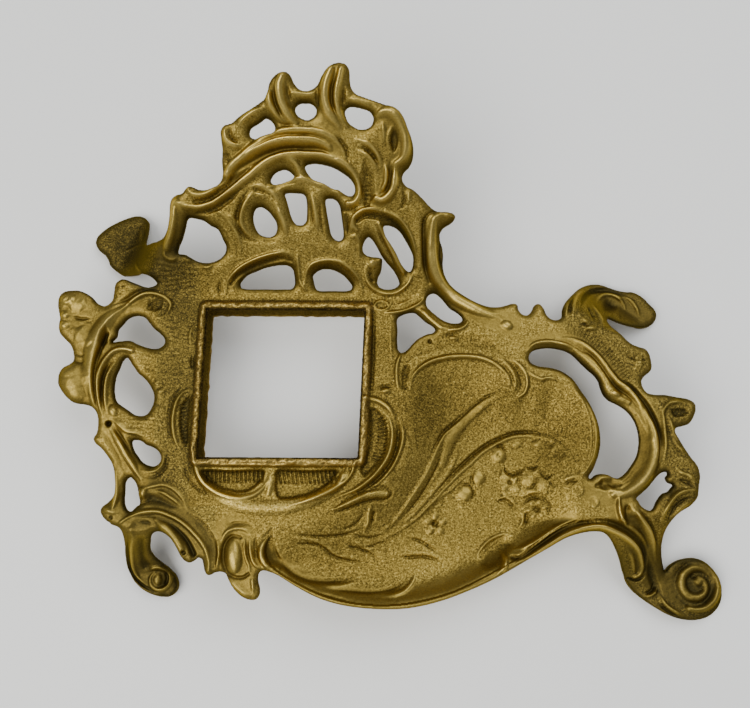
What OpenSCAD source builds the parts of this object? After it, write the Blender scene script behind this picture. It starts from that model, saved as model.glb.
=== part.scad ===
// Rococo inkstand with a square ink well, a pen tray and an openwork crest, cast in brass.
// X runs to the right, Y to the crest at the back, Z up. The feet stand on Z = 0.

/* [Body plate] */
// Height of the body plate's top face above the table
body_z = 22; // [20:0.5:24]
// Thickness of the cast plate
sheet = 2.8; // [2.4:0.1:3.2]

/* [Ink well] */
// Width of the square opening that takes the glass ink pot
well_w = 48; // [46:0.5:48]
// Depth of the square opening, front to back
well_d = 45; // [43:0.5:45]
// Wall thickness of the collar round the opening
collar_wall = 2; // [1.6:0.1:2]
// Height of the collar, from its ragged lower edge to its rim
collar_h = 13; // [10:0.5:14]
// How far the rim stands above the body plate
collar_rise = 2; // [1:0.5:3]

/* [Pen tray] */
// Drop from one terrace of the tray's dished floor to the next
tray_step = 1.6; // [1.2:0.1:1.8]

/* [Crest] */
// Angle between the crest and the table
crest_lean = 40; // [36:1:42]

/* [Feet] */
// Radius of the round legs where they leave the plate
leg_r = 4; // [3.4:0.1:4.2]
// Radius of the flat volute of the front right foot
volute_r = 9.5; // [8:0.5:9.5]

/* [Hidden] */
gold = [0.62, 0.50, 0.18];
olive = [0.42, 0.36, 0.14];
hinge_y = 20;                       // line at which the crest leaves the body plate
well_x = -33;                       // centre of the opening
well_y = -5;
well_skew = 2;                      // the opening leans this far to the right at the back
pad_r = 3;                          // flat spot under each foot
drop = sheet / cos(crest_lean);     // height of the crest plate's section on the hinge line

// ---- curves ----

// A point of the Catmull-Rom curve between b and c
function between(a, b, c, d, t) = 0.5 * (2 * b + (c - a) * t
    + (2 * a - 5 * b + 4 * c - d) * t * t + (3 * b - a - 3 * c + d) * t * t * t);

// The smooth closed curve through the points p
function smooth(p, steps = 2) = let (n = len(p)) [for (i = [0:n - 1], k = [0:steps - 1])
    between(p[(i + n - 1) % n], p[i], p[(i + 1) % n], p[(i + 2) % n], k / steps)];

// A closed curve drawn towards a centre
function shrunk(p, centre, scale) = [for (q = p) centre + (q - centre) * scale];

// Plan points laid out flat in the plane of the leaning crest
function unfolded(p) = [for (q = p) [q[0], (q[1] - hinge_y) / cos(crest_lean)]];

// ---- outlines in plan ----

body_edge = smooth([[-71, 25], [-74, 24], [-81, 25.9], [-84.2, 24.5], [-85.2, 20], [-87.3, 18.5],
    [-89.5, 19.4], [-91.5, 21.5], [-95, 23], [-99.2, 22.8], [-101.2, 19.7], [-100.7, 14.7],
    [-100.3, 10], [-97, 6.5], [-96, 2], [-99.5, -0.5], [-100.4, -4.7], [-98, -9], [-94.5, -11.2],
    [-90, -12], [-88, -15.3], [-88.2, -20], [-89, -22], [-87, -24.2], [-83.7, -28.3],
    [-82, -33], [-82.3, -38], [-85.7, -41.6], [-86.2, -43.5], [-84, -46.2], [-80, -48.5],
    [-75, -49], [-70.3, -48.9], [-67, -49.5], [-64.5, -52], [-62.5, -56], [-60.6, -57.6],
    [-58.5, -57], [-56.8, -56.5], [-55.5, -58.5], [-54.5, -61.2], [-52.2, -60.8],
    [-49.5, -60.8], [-47, -64.7], [-43.7, -67.7], [-40, -68.4], [-38.9, -66], [-39.3, -62],
    [-37.7, -60], [-34, -61.2], [-27.8, -64.9], [-20.6, -68.4], [-13.4, -70.2], [-4, -71.1],
    [4.8, -70.8], [13.6, -68.9], [22.5, -65.5], [30.6, -62], [39.9, -56.7], [48.5, -52.3],
    [55, -49.6], [61, -49.1], [66, -51], [73, -52], [79, -50], [81.6, -46], [86.8, -41.9],
    [90, -39.7], [91, -35], [91, -31.5], [89.3, -28.4], [86.2, -23.3], [84, -19.8],
    [84.8, -18.3], [88.6, -17.3], [90.5, -13.5], [89.5, -10.3], [85.4, -9.2], [78, -8.6],
    [75.3, -7], [74.9, -4], [77.4, -1.5], [78, 1], [76.3, 5.3], [72.4, 6.7], [69.1, 10],
    [65.5, 14], [60, 18], [54, 18.5], [51.5, 14.4], [48, 14.2], [45.8, 17.2], [44.1, 18.5],
    [41.7, 15.9], [39.5, 16.2], [37.6, 18.7], [32.2, 18.1], [27, 18.9], [24.5, 20.5],
    [10, 22], [-30, 22], [-66, 22]]);

crest_edge = smooth([[-71, 18], [-71, 25.5], [-72, 30], [-71, 35], [-67.6, 37], [-65.5, 42],
    [-65, 46.1], [-63, 47.5], [-60.6, 47.7], [-58.4, 49.2], [-54.2, 48.3], [-50, 49.5],
    [-48.3, 52.7], [-48, 57.5], [-48, 61.9], [-44.9, 63.4], [-40, 66.3], [-35.1, 68.9],
    [-33.9, 72], [-30.9, 74.3], [-29, 74.4], [-27.1, 72], [-24, 70.4], [-20.8, 71.7],
    [-18.4, 74.9], [-14.6, 76.3], [-12.1, 74.8], [-11.8, 71.5], [-9.8, 69.6], [-2.4, 67.5],
    [1.8, 65.9], [4.4, 61.2], [5.7, 57.3], [4.8, 54], [2.8, 51.5], [5.7, 48.4], [9.4, 45.5],
    [12.1, 43.5], [17.4, 42.7], [18.2, 41.8], [15.8, 39.8], [14, 37.5], [14.8, 34.6],
    [15.2, 28.3], [17.5, 24.7], [21.7, 21.7], [25.5, 19.5], [0, 17], [-40, 17]]);

gallery_holes = [
    [[-77.2, 15.6], [-73.6, 13.3], [-70, 10], [-68.6, 7.8], [-71.9, 5.4], [-76.9, 6.8],
        [-80.4, 7.9], [-84.6, 7.5], [-82.8, 11.2], [-79.9, 14.8]],
    [[-80, 2.8], [-76.5, -2], [-72.9, -5.4], [-71.3, -9.6], [-72.5, -13.1], [-77.2, -14.6],
        [-81.1, -11.9], [-83.3, -8], [-83.1, -3], [-81.4, 1.6]],
    [[-77.5, -22.2], [-73.4, -23.6], [-69.8, -25.2], [-69.3, -29.3], [-74.4, -28.7],
        [-77.1, -24.9]],
    [[-77.7, -33], [-75.7, -35.6], [-74.6, -41], [-78, -43.2], [-79.3, -40.2], [-79, -34]]];

handle_holes = [
    [[42.8, 4.9], [48, 5.5], [54.5, 3.4], [60.6, -2.7], [63.3, -8.9], [69.3, -12.8],
        [73.2, -19.3], [73.2, -24.6], [69.8, -31.1], [66.9, -33.4], [61.9, -32], [58.4, -33.4],
        [61.2, -26.4], [61.4, -17.8], [58.2, -9.9], [54.2, -3.7], [47.1, -0.3], [41.3, 1.7]],
    [[81, -31.8], [78.7, -32.6], [75.4, -36.2], [71.8, -39.2], [73.1, -41.3], [76.1, -42.9],
        [78.6, -39.2], [82, -36.8], [81, -34]]];

stay_holes = [
    [[11.6, 22.1], [14.8, 21.1], [17.4, 17.8], [21.1, 15.3], [20.7, 13.4], [16.7, 13.5],
        [13.4, 15.5], [10.5, 18.5]],
    [[1.6, 14.6], [7, 16.4], [12, 12.4], [12.5, 10.3], [8, 8.5], [2.6, 4], [1.5, 7.3]]];

crest_holes = [
    [[-59.6, 41.7], [-55, 41], [-50.8, 38.2], [-49.3, 34.9], [-50.8, 31.8], [-55.6, 30.4],
        [-61, 32.5], [-64, 32.9], [-61.9, 36.7]],
    [[-38, 44.4], [-40.5, 42.9], [-40.4, 40], [-38.2, 37.2], [-34.6, 37.6], [-34, 40.6],
        [-36.3, 43.5]],
    [[-31.1, 47.6], [-28.3, 47.8], [-25.4, 47.2], [-25, 42.7], [-26.6, 40], [-28.8, 40.5],
        [-30.3, 44.6]],
    [[-19.2, 46.4], [-16.3, 45.9], [-15.1, 43], [-14.5, 36.9], [-17.2, 36.5], [-18.8, 41.3]],
    [[-25.1, 54.1], [-19.8, 54.4], [-14.3, 52.4], [-11, 49.4], [-12.5, 46.9], [-17.3, 48.5],
        [-23, 50.6]],
    [[-34.5, 51.7], [-30.6, 53.3], [-28.1, 51.5], [-31, 49.7], [-35, 50]],
    [[-35.4, 64.7], [-32.8, 62.2], [-36, 60.6], [-40, 60.5], [-38.2, 63.2]],
    [[-27.2, 66.8], [-24.3, 68], [-21.3, 66.6], [-23.6, 64.1], [-26.9, 65.2]],
    [[-13.4, 66.5], [-9, 66.9], [-5.5, 64.8], [-8.5, 62], [-12.4, 63.5]],
    [[-45.9, 25.1], [-41, 28.3], [-35.8, 29.7], [-31.1, 29.8], [-29.4, 25.3], [-30.5, 23.4],
        [-44.5, 23.4]],
    [[-23.9, 27.1], [-19.5, 29], [-14.4, 27.1], [-12, 24.2], [-15, 23], [-22.8, 23.2]],
    [[-7.1, 37.1], [-3.3, 32.5], [1.2, 27.4], [2, 24.4], [-2.5, 23.5], [-4.5, 25.8],
        [-3.1, 29.8], [-4.6, 31.8], [-8.4, 33.4]],
    [[-2.6, 39.6], [1, 39.4], [5.4, 34.3], [6.2, 30.6], [5, 28.2], [2.1, 30.9], [-1, 35.6]]];

tray_rim = smooth([[4, -8], [9, 0], [14, 2], [20, 2.8], [30, 0.5], [35.5, -4], [41, -3],
    [47, -4.2], [53, -6.5], [57, -11.5], [58.8, -20], [57, -30], [54, -37], [49, -44.5],
    [40, -50.5], [26, -58.5], [10, -65.5], [-5, -67.5], [-16, -66], [-28, -61], [-34, -53],
    [-33.5, -48], [-20, -46], [-8, -39.5], [1, -30.5], [4.5, -20]]);
tray_centre = [14, -33];
tray_steps = 4;

// ---- zones that divide the casting into its named parts, in plan ----

collar_corners = [[-58, hinge_y], [-6, hinge_y], [-8.2, -29.5], [-60.2, -29.5]];
lobes_zone = [[-110, 30], [-90, 30], [-90, -30], [-110, -30]];
gallery_zone = [[-90, 30], [-71, 30], [-71, -25], [-73, -41.5], [-90, -41.5]];
wing_zone = [[-71, 20], [-58, 20], [-60.2, -29.5], [-60.2, -41.5], [-73, -41.5],
    [-71, -25]];
scroll_zone = [[-90, -41.5], [-52, -41.5], [-52, -75], [-90, -75]];
apron_zone = [[-60.2, -29.5], [-8.2, -29.5], [-2, -32], [-8, -38.5], [-20, -44.5],
    [-37.5, -44.5], [-52, -44.5], [-52, -41.5], [-60.2, -41.5]];
crescent_zone = [[-6, 16.5], [5, 16.5], [1.6, 4], [3.5, -8], [3.5, -24], [-2, -32], [-8.2, -29.5]];
shell_zone = [[-52, -44.5], [-37.5, -44.5], [-37.5, -75], [-52, -75]];
tray_zone = [[-37.5, -75], [-37.5, -44.5], [-20, -44.5], [-8, -38.5], [-2, -32], [3.5, -24],
    [3.5, -8], [1.6, 4], [5, 8], [13, 11], [21.2, 14.2], [33, 12.6], [39.5, 10], [42, 3],
    [51, 1], [60.5, -7], [64, -18], [63, -27], [59.2, -33.2], [58, -40], [56, -46], [56, -75]];
stay_zone = [[-6, 20], [-6, 16.5], [5, 16.5], [6, 13], [13, 11], [21.2, 14.2], [11, 20]];
bracket_zone = [[11, 20], [21.2, 14.2], [33, 12.6], [39.5, 10], [39.5, 20]];
loop_zone = [[39.5, 20], [39.5, 10], [42, 3], [51, 1], [60.5, -7], [64, -18], [63, -27], [59.2, -33.2],
    [58, -40], [56, -46], [56, -60], [85, -60], [78.5, -43], [78.8, -32], [79.5, -25], [78.5, -16], [75, -9],
    [69, -4.5], [62, 4], [54, 9.5], [50, 13], [50, 20]];
handle_lobes_zone = [[95, -60], [85, -60], [78.5, -43], [78.8, -32], [79.5, -25], [78.5, -16],
    [75, -9], [69, -4.5], [62, 4], [54, 9.5], [50, 13], [50, 25], [95, 25]];

shoulder_zone = [[-80, hinge_y], [-58, hinge_y], [-58, 34.5], [-80, 34.5]];
stay_bar_zone = [[-80, 34.5], [-60, 34.5], [-59.5, 44], [-61.5, 55], [-80, 55]];
base_zone = [[-58, hinge_y], [-9, hinge_y], [-9, 33], [-51, 33], [-58, 32]];
fan_zone = [[-51, 33], [-9, 33], [-9, 46.5], [-15, 47.6], [-24, 49.8], [-35, 49.3], [-45, 47],
    [-52, 39]];
arch_zone = [[-60, 42], [-52, 39], [-45, 47], [-35, 49.3], [-24, 49.8], [-15, 47.6],
    [-9, 46.5], [-9, 60], [-20, 61.5], [-35, 60], [-49, 57], [-70, 57], [-61.5, 55],
    [-59.5, 44]];
flames_zone = [[-49, 57], [-35, 60], [-20, 61.5], [-9, 60], [10, 63], [10, 85], [-60, 85]];
curl_zone = [[-9, 41], [8.5, 41], [8.5, 52], [10, 52], [10, 63], [-9, 60]];
ring_zone = [[-9, hinge_y], [10.5, hinge_y], [10, 24], [8.5, 33], [8.5, 41], [-9, 41]];
bracket_crest_zone = [[10.5, hinge_y], [30, hinge_y], [30, 52], [8.5, 52], [8.5, 33], [10, 24]];

// ---- building blocks ----

module holes(list) { for (h = list) polygon(smooth(h)); }

// A flat part of the body plate
module plate(zone) {
    translate([0, 0, body_z - sheet]) linear_extrude(sheet) intersection() {
        difference() {
            polygon(body_edge);
            holes(gallery_holes);
            holes(handle_holes);
            holes(stay_holes);
            polygon(collar_corners);
        }
        polygon(zone);
    }
}

// A part of the leaning crest, cut off square at the hinge line
module crest_plate(zone) {
    below = [for (q = zone) [q[0], q[1] > hinge_y ? q[1] : hinge_y - sheet]];
    difference() {
        translate([0, hinge_y, body_z]) rotate([crest_lean, 0, 0])
        translate([0, 0, -sheet]) linear_extrude(sheet) intersection() {
            difference() {
                polygon(unfolded(crest_edge));
                for (h = concat(crest_holes, [stay_holes[0]])) polygon(unfolded(smooth(h)));
            }
            polygon(unfolded(below));
        }
        translate([-120, hinge_y - 20, body_z - 20]) cube([240, 20, 40]);
    }
}

// A round limb through the stations [x, y, z, radius]
module limb(stations) {
    sides = 12;
    n = len(stations);
    places = [for (s = stations) [s[0], s[1], s[2]]];
    rings = [for (i = [0:n - 1]) let (
        way = places[min(i + 1, n - 1)] - places[max(i - 1, 0)],
        t = way / norm(way),
        side = cross(t, [0, 0, 1]),
        u = side / norm(side),
        v = cross(u, t)) [for (k = [0:sides - 1])
            places[i] + stations[i][3] * (cos(360 * k / sides) * u + sin(360 * k / sides) * v)]];
    polyhedron([for (r = rings) each r],
        concat([[for (k = [sides - 1:-1:0]) k]],
            [for (i = [0:n - 2], k = [0:sides - 1]) let (m = (k + 1) % sides)
                each [[i * sides + k, i * sides + m, (i + 1) * sides + m],
                    [i * sides + k, (i + 1) * sides + m, (i + 1) * sides + k]]],
            [[for (k = [0:sides - 1]) (n - 1) * sides + k]]));
}

// A foot: its limb and a flat spot at its lowest place, trimmed by the plates it grows from
module foot(stations, spot) {
    difference() {
        union() {
            limb(stations);
            translate([spot[0], spot[1], 0]) cylinder(r = pad_r, h = 2.5, $fn = 32);
            children(0);
        }
        children(1);
        translate([spot[0], spot[1], -10]) cylinder(r = 20, h = 10, $fn = 32);
    }
}

// ---- the ink well's collar and the plate round it ----

module well_opening() {
    polygon([for (c = [[-1, 1], [1, 1], [1, -1], [-1, -1]])
        [well_x + c[0] * well_w / 2 + c[1] * well_skew / 2, well_y + c[1] * well_d / 2]]);
}

module well_collar() {
    color(gold) translate([0, 0, body_z + collar_rise - collar_h]) linear_extrude(collar_h)
    difference() {
        polygon(collar_corners);
        well_opening();
    }
}

module front_apron() { color(gold) plate(apron_zone); }
module right_crescent() { color(gold) plate(crescent_zone); }
module left_wing() { color(olive) plate(wing_zone); }
module left_gallery() { color(gold) plate(gallery_zone); }
module left_lobes() { color(gold) plate(lobes_zone); }
module front_left_scroll() { color(olive) plate(scroll_zone); }
module front_shell() { color(gold) plate(shell_zone); }

// ---- the pen tray, a flange round a floor that steps down to the middle ----

module tray_ring(level) {
    translate([0, 0, body_z - sheet - level * tray_step]) linear_extrude(sheet) difference() {
        polygon(shrunk(tray_rim, tray_centre, 1 - 0.08 * (level - 1)));
        if (level < tray_steps) polygon(shrunk(tray_rim, tray_centre, 1 - 0.08 * level));
    }
}

module pen_tray() {
    color(gold) {
        difference() {
            plate(tray_zone);
            translate([0, 0, body_z - 2 * sheet]) linear_extrude(3 * sheet) polygon(tray_rim);
        }
        for (level = [1:tray_steps]) tray_ring(level);
    }
}

module tray_stay() { color(gold) plate(stay_zone); }
module handle_loop() { color(gold) plate(loop_zone); }
module handle_lobes() { color(olive) plate(handle_lobes_zone); }

// ---- the crest ----

module left_shoulder() { color(olive) crest_plate(shoulder_zone); }
module left_stay() { color(gold) crest_plate(stay_bar_zone); }
module crest_base() { color(gold) crest_plate(base_zone); }
module crest_fan() { color(gold) crest_plate(fan_zone); }
module crest_arch() { color(gold) crest_plate(arch_zone); }
module crest_flames() { color(gold) crest_plate(flames_zone); }
module crest_curl() { color(gold) crest_plate(curl_zone); }
module crest_ring() { color(gold) crest_plate(ring_zone); }
module right_bracket() {
    color(gold) {
        plate(bracket_zone);
        crest_plate(bracket_crest_zone);
    }
}

// ---- the feet ----

module foot_back_left() {
    spot = [-87.5, 40.5];
    color(olive) foot([[-66.5, 29, 24, leg_r], [-73, 31.5, 19.5, leg_r], [-79, 33.5, 13, leg_r],
        [-84, 37, 6.5, leg_r], [-86.5, 42, 4, leg_r - 0.6]], spot) {
        translate([spot[0], spot[1], 0]) paddle(8, 5);
        left_shoulder();
    }
}

module foot_back_right() {
    spot = [77, 20];
    color(olive) foot([[57, 11, 17.6, leg_r], [61, 17, 15.4, leg_r + 0.2],
        [66, 22, 9.5, leg_r + 0.4], [72, 22.5, 6, leg_r + 0.2], [79, 19, 4.2, leg_r]], spot) {
        translate([spot[0], spot[1], 0]) paddle(6.5, 6);
        union() {
            handle_loop();
            handle_lobes();
        }
    }
}

module foot_front_left() {
    spot = [-71, -66];
    color(olive) foot([[-76, -45, 17.6, leg_r - 0.2], [-78.5, -52, 15, leg_r],
        [-79, -59, 9.5, leg_r], [-76, -64.5, 5, leg_r], [-70, -66.5, 4, leg_r]], spot) {
        translate([spot[0], spot[1], 0]) paddle(6, 6);
        front_left_scroll();
    }
}

module foot_front_right() {
    spot = [91.5, -67.2];
    color(olive) foot([[71, -45, 17.4, leg_r], [74, -52, 15, leg_r + 0.6],
        [76, -59, 11, leg_r + 1], [79.5, -65, 7, leg_r + 0.8], [85, -69, 4.8, leg_r + 0.4]], spot) {
        translate([spot[0], spot[1], 0]) paddle(volute_r, 9);
        handle_loop();
    }
}

// The rolled or flattened end of a foot
module paddle(r, h) {
    rotate_extrude($fn = 48) polygon([[0, 0], [r - 1.5, 0], [r - 0.4, h * 0.15], [r, h * 0.35],
        [r - 0.5, h * 0.65], [r - 1.8, h * 0.85], [r * 0.55, h], [0, h]]);
}

well_collar();
front_apron();
right_crescent();
pen_tray();
left_wing();
left_gallery();
left_lobes();
front_left_scroll();
front_shell();
left_shoulder();
left_stay();
crest_base();
crest_fan();
crest_arch();
crest_flames();
crest_curl();
crest_ring();
right_bracket();
tray_stay();
handle_loop();
handle_lobes();
foot_back_left();
foot_back_right();
foot_front_left();
foot_front_right();
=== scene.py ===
"""Looks of the rococo brass inkstand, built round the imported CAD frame.

The stand is one sand casting: a sheet of brass that lies flat round the ink well, dishes into the
pen tray, leans back in the crest and runs down into the feet. Every length here is in millimetres
in the frame's axes until a mesh is made. The casting is worked out once as three maps over the
plan, the height of its top, the height of its underside and the distance to its nearest edge, and
is then cut into the same named parts as the CAD model.
"""
import math

import bpy
import numpy as np
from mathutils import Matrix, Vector


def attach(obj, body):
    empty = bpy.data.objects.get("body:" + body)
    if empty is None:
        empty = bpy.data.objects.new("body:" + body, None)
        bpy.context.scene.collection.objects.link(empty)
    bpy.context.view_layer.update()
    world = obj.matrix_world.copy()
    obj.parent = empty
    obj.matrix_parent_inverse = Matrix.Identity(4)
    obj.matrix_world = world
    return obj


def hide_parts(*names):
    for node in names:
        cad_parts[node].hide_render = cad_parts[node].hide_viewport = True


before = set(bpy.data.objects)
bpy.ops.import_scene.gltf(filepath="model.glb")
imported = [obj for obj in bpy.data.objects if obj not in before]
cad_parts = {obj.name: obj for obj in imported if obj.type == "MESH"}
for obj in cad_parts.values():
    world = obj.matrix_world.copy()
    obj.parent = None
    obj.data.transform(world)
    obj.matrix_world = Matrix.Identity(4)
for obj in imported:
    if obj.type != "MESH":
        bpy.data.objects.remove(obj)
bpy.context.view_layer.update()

MM = 0.001                # one millimetre in metres
CELL = 0.25               # spacing of the plan grid
BODY = 22.0               # height of the plate round the well
HINGE = 20.0              # the crest leans back from this line
LEAN = math.tan(math.radians(40))     # its slope
SHEET = 2.8               # thickness of the cast plate
LEAST = 1.0               # thinnest that the metal gets
TUCK = 1.2                # how far the underside rises towards an edge
COLLAR_FOOT = 11.0        # height of the collar's lower edge
COLLAR_WALL = 2.0         # thickness of the collar below the plate
COLLAR_RIM = 2.3          # width of the filed rim round the well
REACH = 6.0               # distances to an edge are worked out this far
PATINA_BLUR = 3.5         # the darker parts fade into the others over this radius

xs = np.arange(-103.5, 103.5, CELL)
ys = np.arange(-79.5, 80.1, CELL)
GX, GY = np.meshgrid(xs, ys)


# ---- curves and distances over the plan ----

def curve(points, closed=False, steps=5):
    """A smooth curve through the points (a centripetal Catmull-Rom curve)."""
    p = np.array(points, float)
    n = len(p)
    if closed:
        p = np.vstack([p[-1:], p, p[:2]])
    else:
        p = np.vstack([2 * p[0] - p[1], p, 2 * p[-1] - p[-2]])
    gap = np.sqrt(np.maximum(np.linalg.norm(np.diff(p[:, :2], axis=0), axis=1), 1e-6))
    spans = n if closed else n - 1
    out = []
    t = (np.arange(steps) / steps)[:, None]
    for i in range(spans):
        a, b, c, d = p[i:i + 4]
        ga, gb, gc = gap[i:i + 3]
        mb = gb * ((b - a) / ga - (c - a) / (ga + gb) + (c - b) / gb)
        mc = gb * ((c - b) / gb - (d - b) / (gb + gc) + (d - c) / gc)
        out.append(b + mb * t + (3 * (c - b) - 2 * mb - mc) * t**2
                   + (2 * (b - c) + mb + mc) * t**3)
    if not closed:
        out.append(p[-2:-1])
    return np.vstack(out)


def window(low, high):
    """The slice of the grid that covers a rectangle."""
    i0 = max(int((low[0] - xs[0]) / CELL), 0)
    i1 = min(int((high[0] - xs[0]) / CELL) + 2, len(xs))
    j0 = max(int((low[1] - ys[0]) / CELL), 0)
    j1 = min(int((high[1] - ys[0]) / CELL) + 2, len(ys))
    return slice(j0, max(j1, j0)), slice(i0, max(i1, i0))


def distance(path, reach):
    """Distance to a path up to reach, length run along it, side (1 left, -1 right), its length."""
    near = np.full(GX.shape, float(reach))
    along = np.zeros(GX.shape)
    side = np.ones(GX.shape)
    run = 0.0
    for a, b in zip(path[:-1, :2], path[1:, :2]):
        dx, dy = b - a
        span = max(math.hypot(dx, dy), 1e-6)
        w = window(np.minimum(a, b) - reach, np.maximum(a, b) + reach)
        x, y = GX[w] - a[0], GY[w] - a[1]
        t = np.clip((x * dx + y * dy) / span**2, 0, 1)
        d = np.hypot(x - t * dx, y - t * dy)
        closer = d < near[w]
        near[w] = np.where(closer, d, near[w])
        along[w] = np.where(closer, run + t * span, along[w])
        side[w] = np.where(closer, np.where(dx * y - dy * x > 0, 1.0, -1.0), side[w])
        run += span
    return near, along, side, run


def inside(path):
    """True for the grid points inside a closed path."""
    crossings = np.zeros(GX.shape, bool)
    a = path[:, :2]
    b = np.roll(a, -1, axis=0)
    for (ax, ay), (bx, by) in zip(a, b):
        j0, j1 = np.searchsorted(ys, [min(ay, by), max(ay, by)])
        if j0 == j1:
            continue
        cut = ax + (ys[j0:j1] - ay) * (bx - ax) / (by - ay)
        crossings[j0:j1] ^= xs[None, :] > cut[:, None]
    return crossings


def step(low, high, value):
    """A smooth step from 0 at low to 1 at high."""
    t = np.clip((value - low) / (high - low), 0, 1)
    return t * t * (3 - 2 * t)


def blurred(field, radius):
    """A field smoothed by a Gaussian of this radius in mm."""
    n = int(math.ceil(radius * 2.6 / CELL))
    kernel = np.exp(-0.5 * (np.arange(-n, n + 1) * CELL / radius)**2)
    kernel /= kernel.sum()
    for axis in (0, 1):
        padded = np.pad(field, [(n, n) if k == axis else (0, 0) for k in (0, 1)], mode="edge")
        total = np.zeros_like(field)
        for k, weight in enumerate(kernel):
            part = [slice(None), slice(None)]
            part[axis] = slice(k, k + field.shape[axis])
            total += weight * padded[tuple(part)]
        field = total
    return field


def seeded_noise(radius, seed):
    """Smooth random bumps of about this radius, between about -1 and 1."""
    rough = np.random.default_rng(seed).standard_normal(GX.shape)
    soft = blurred(rough, radius)
    return soft / (2.2 * soft.std())


# ---- outlines in plan ----

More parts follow.
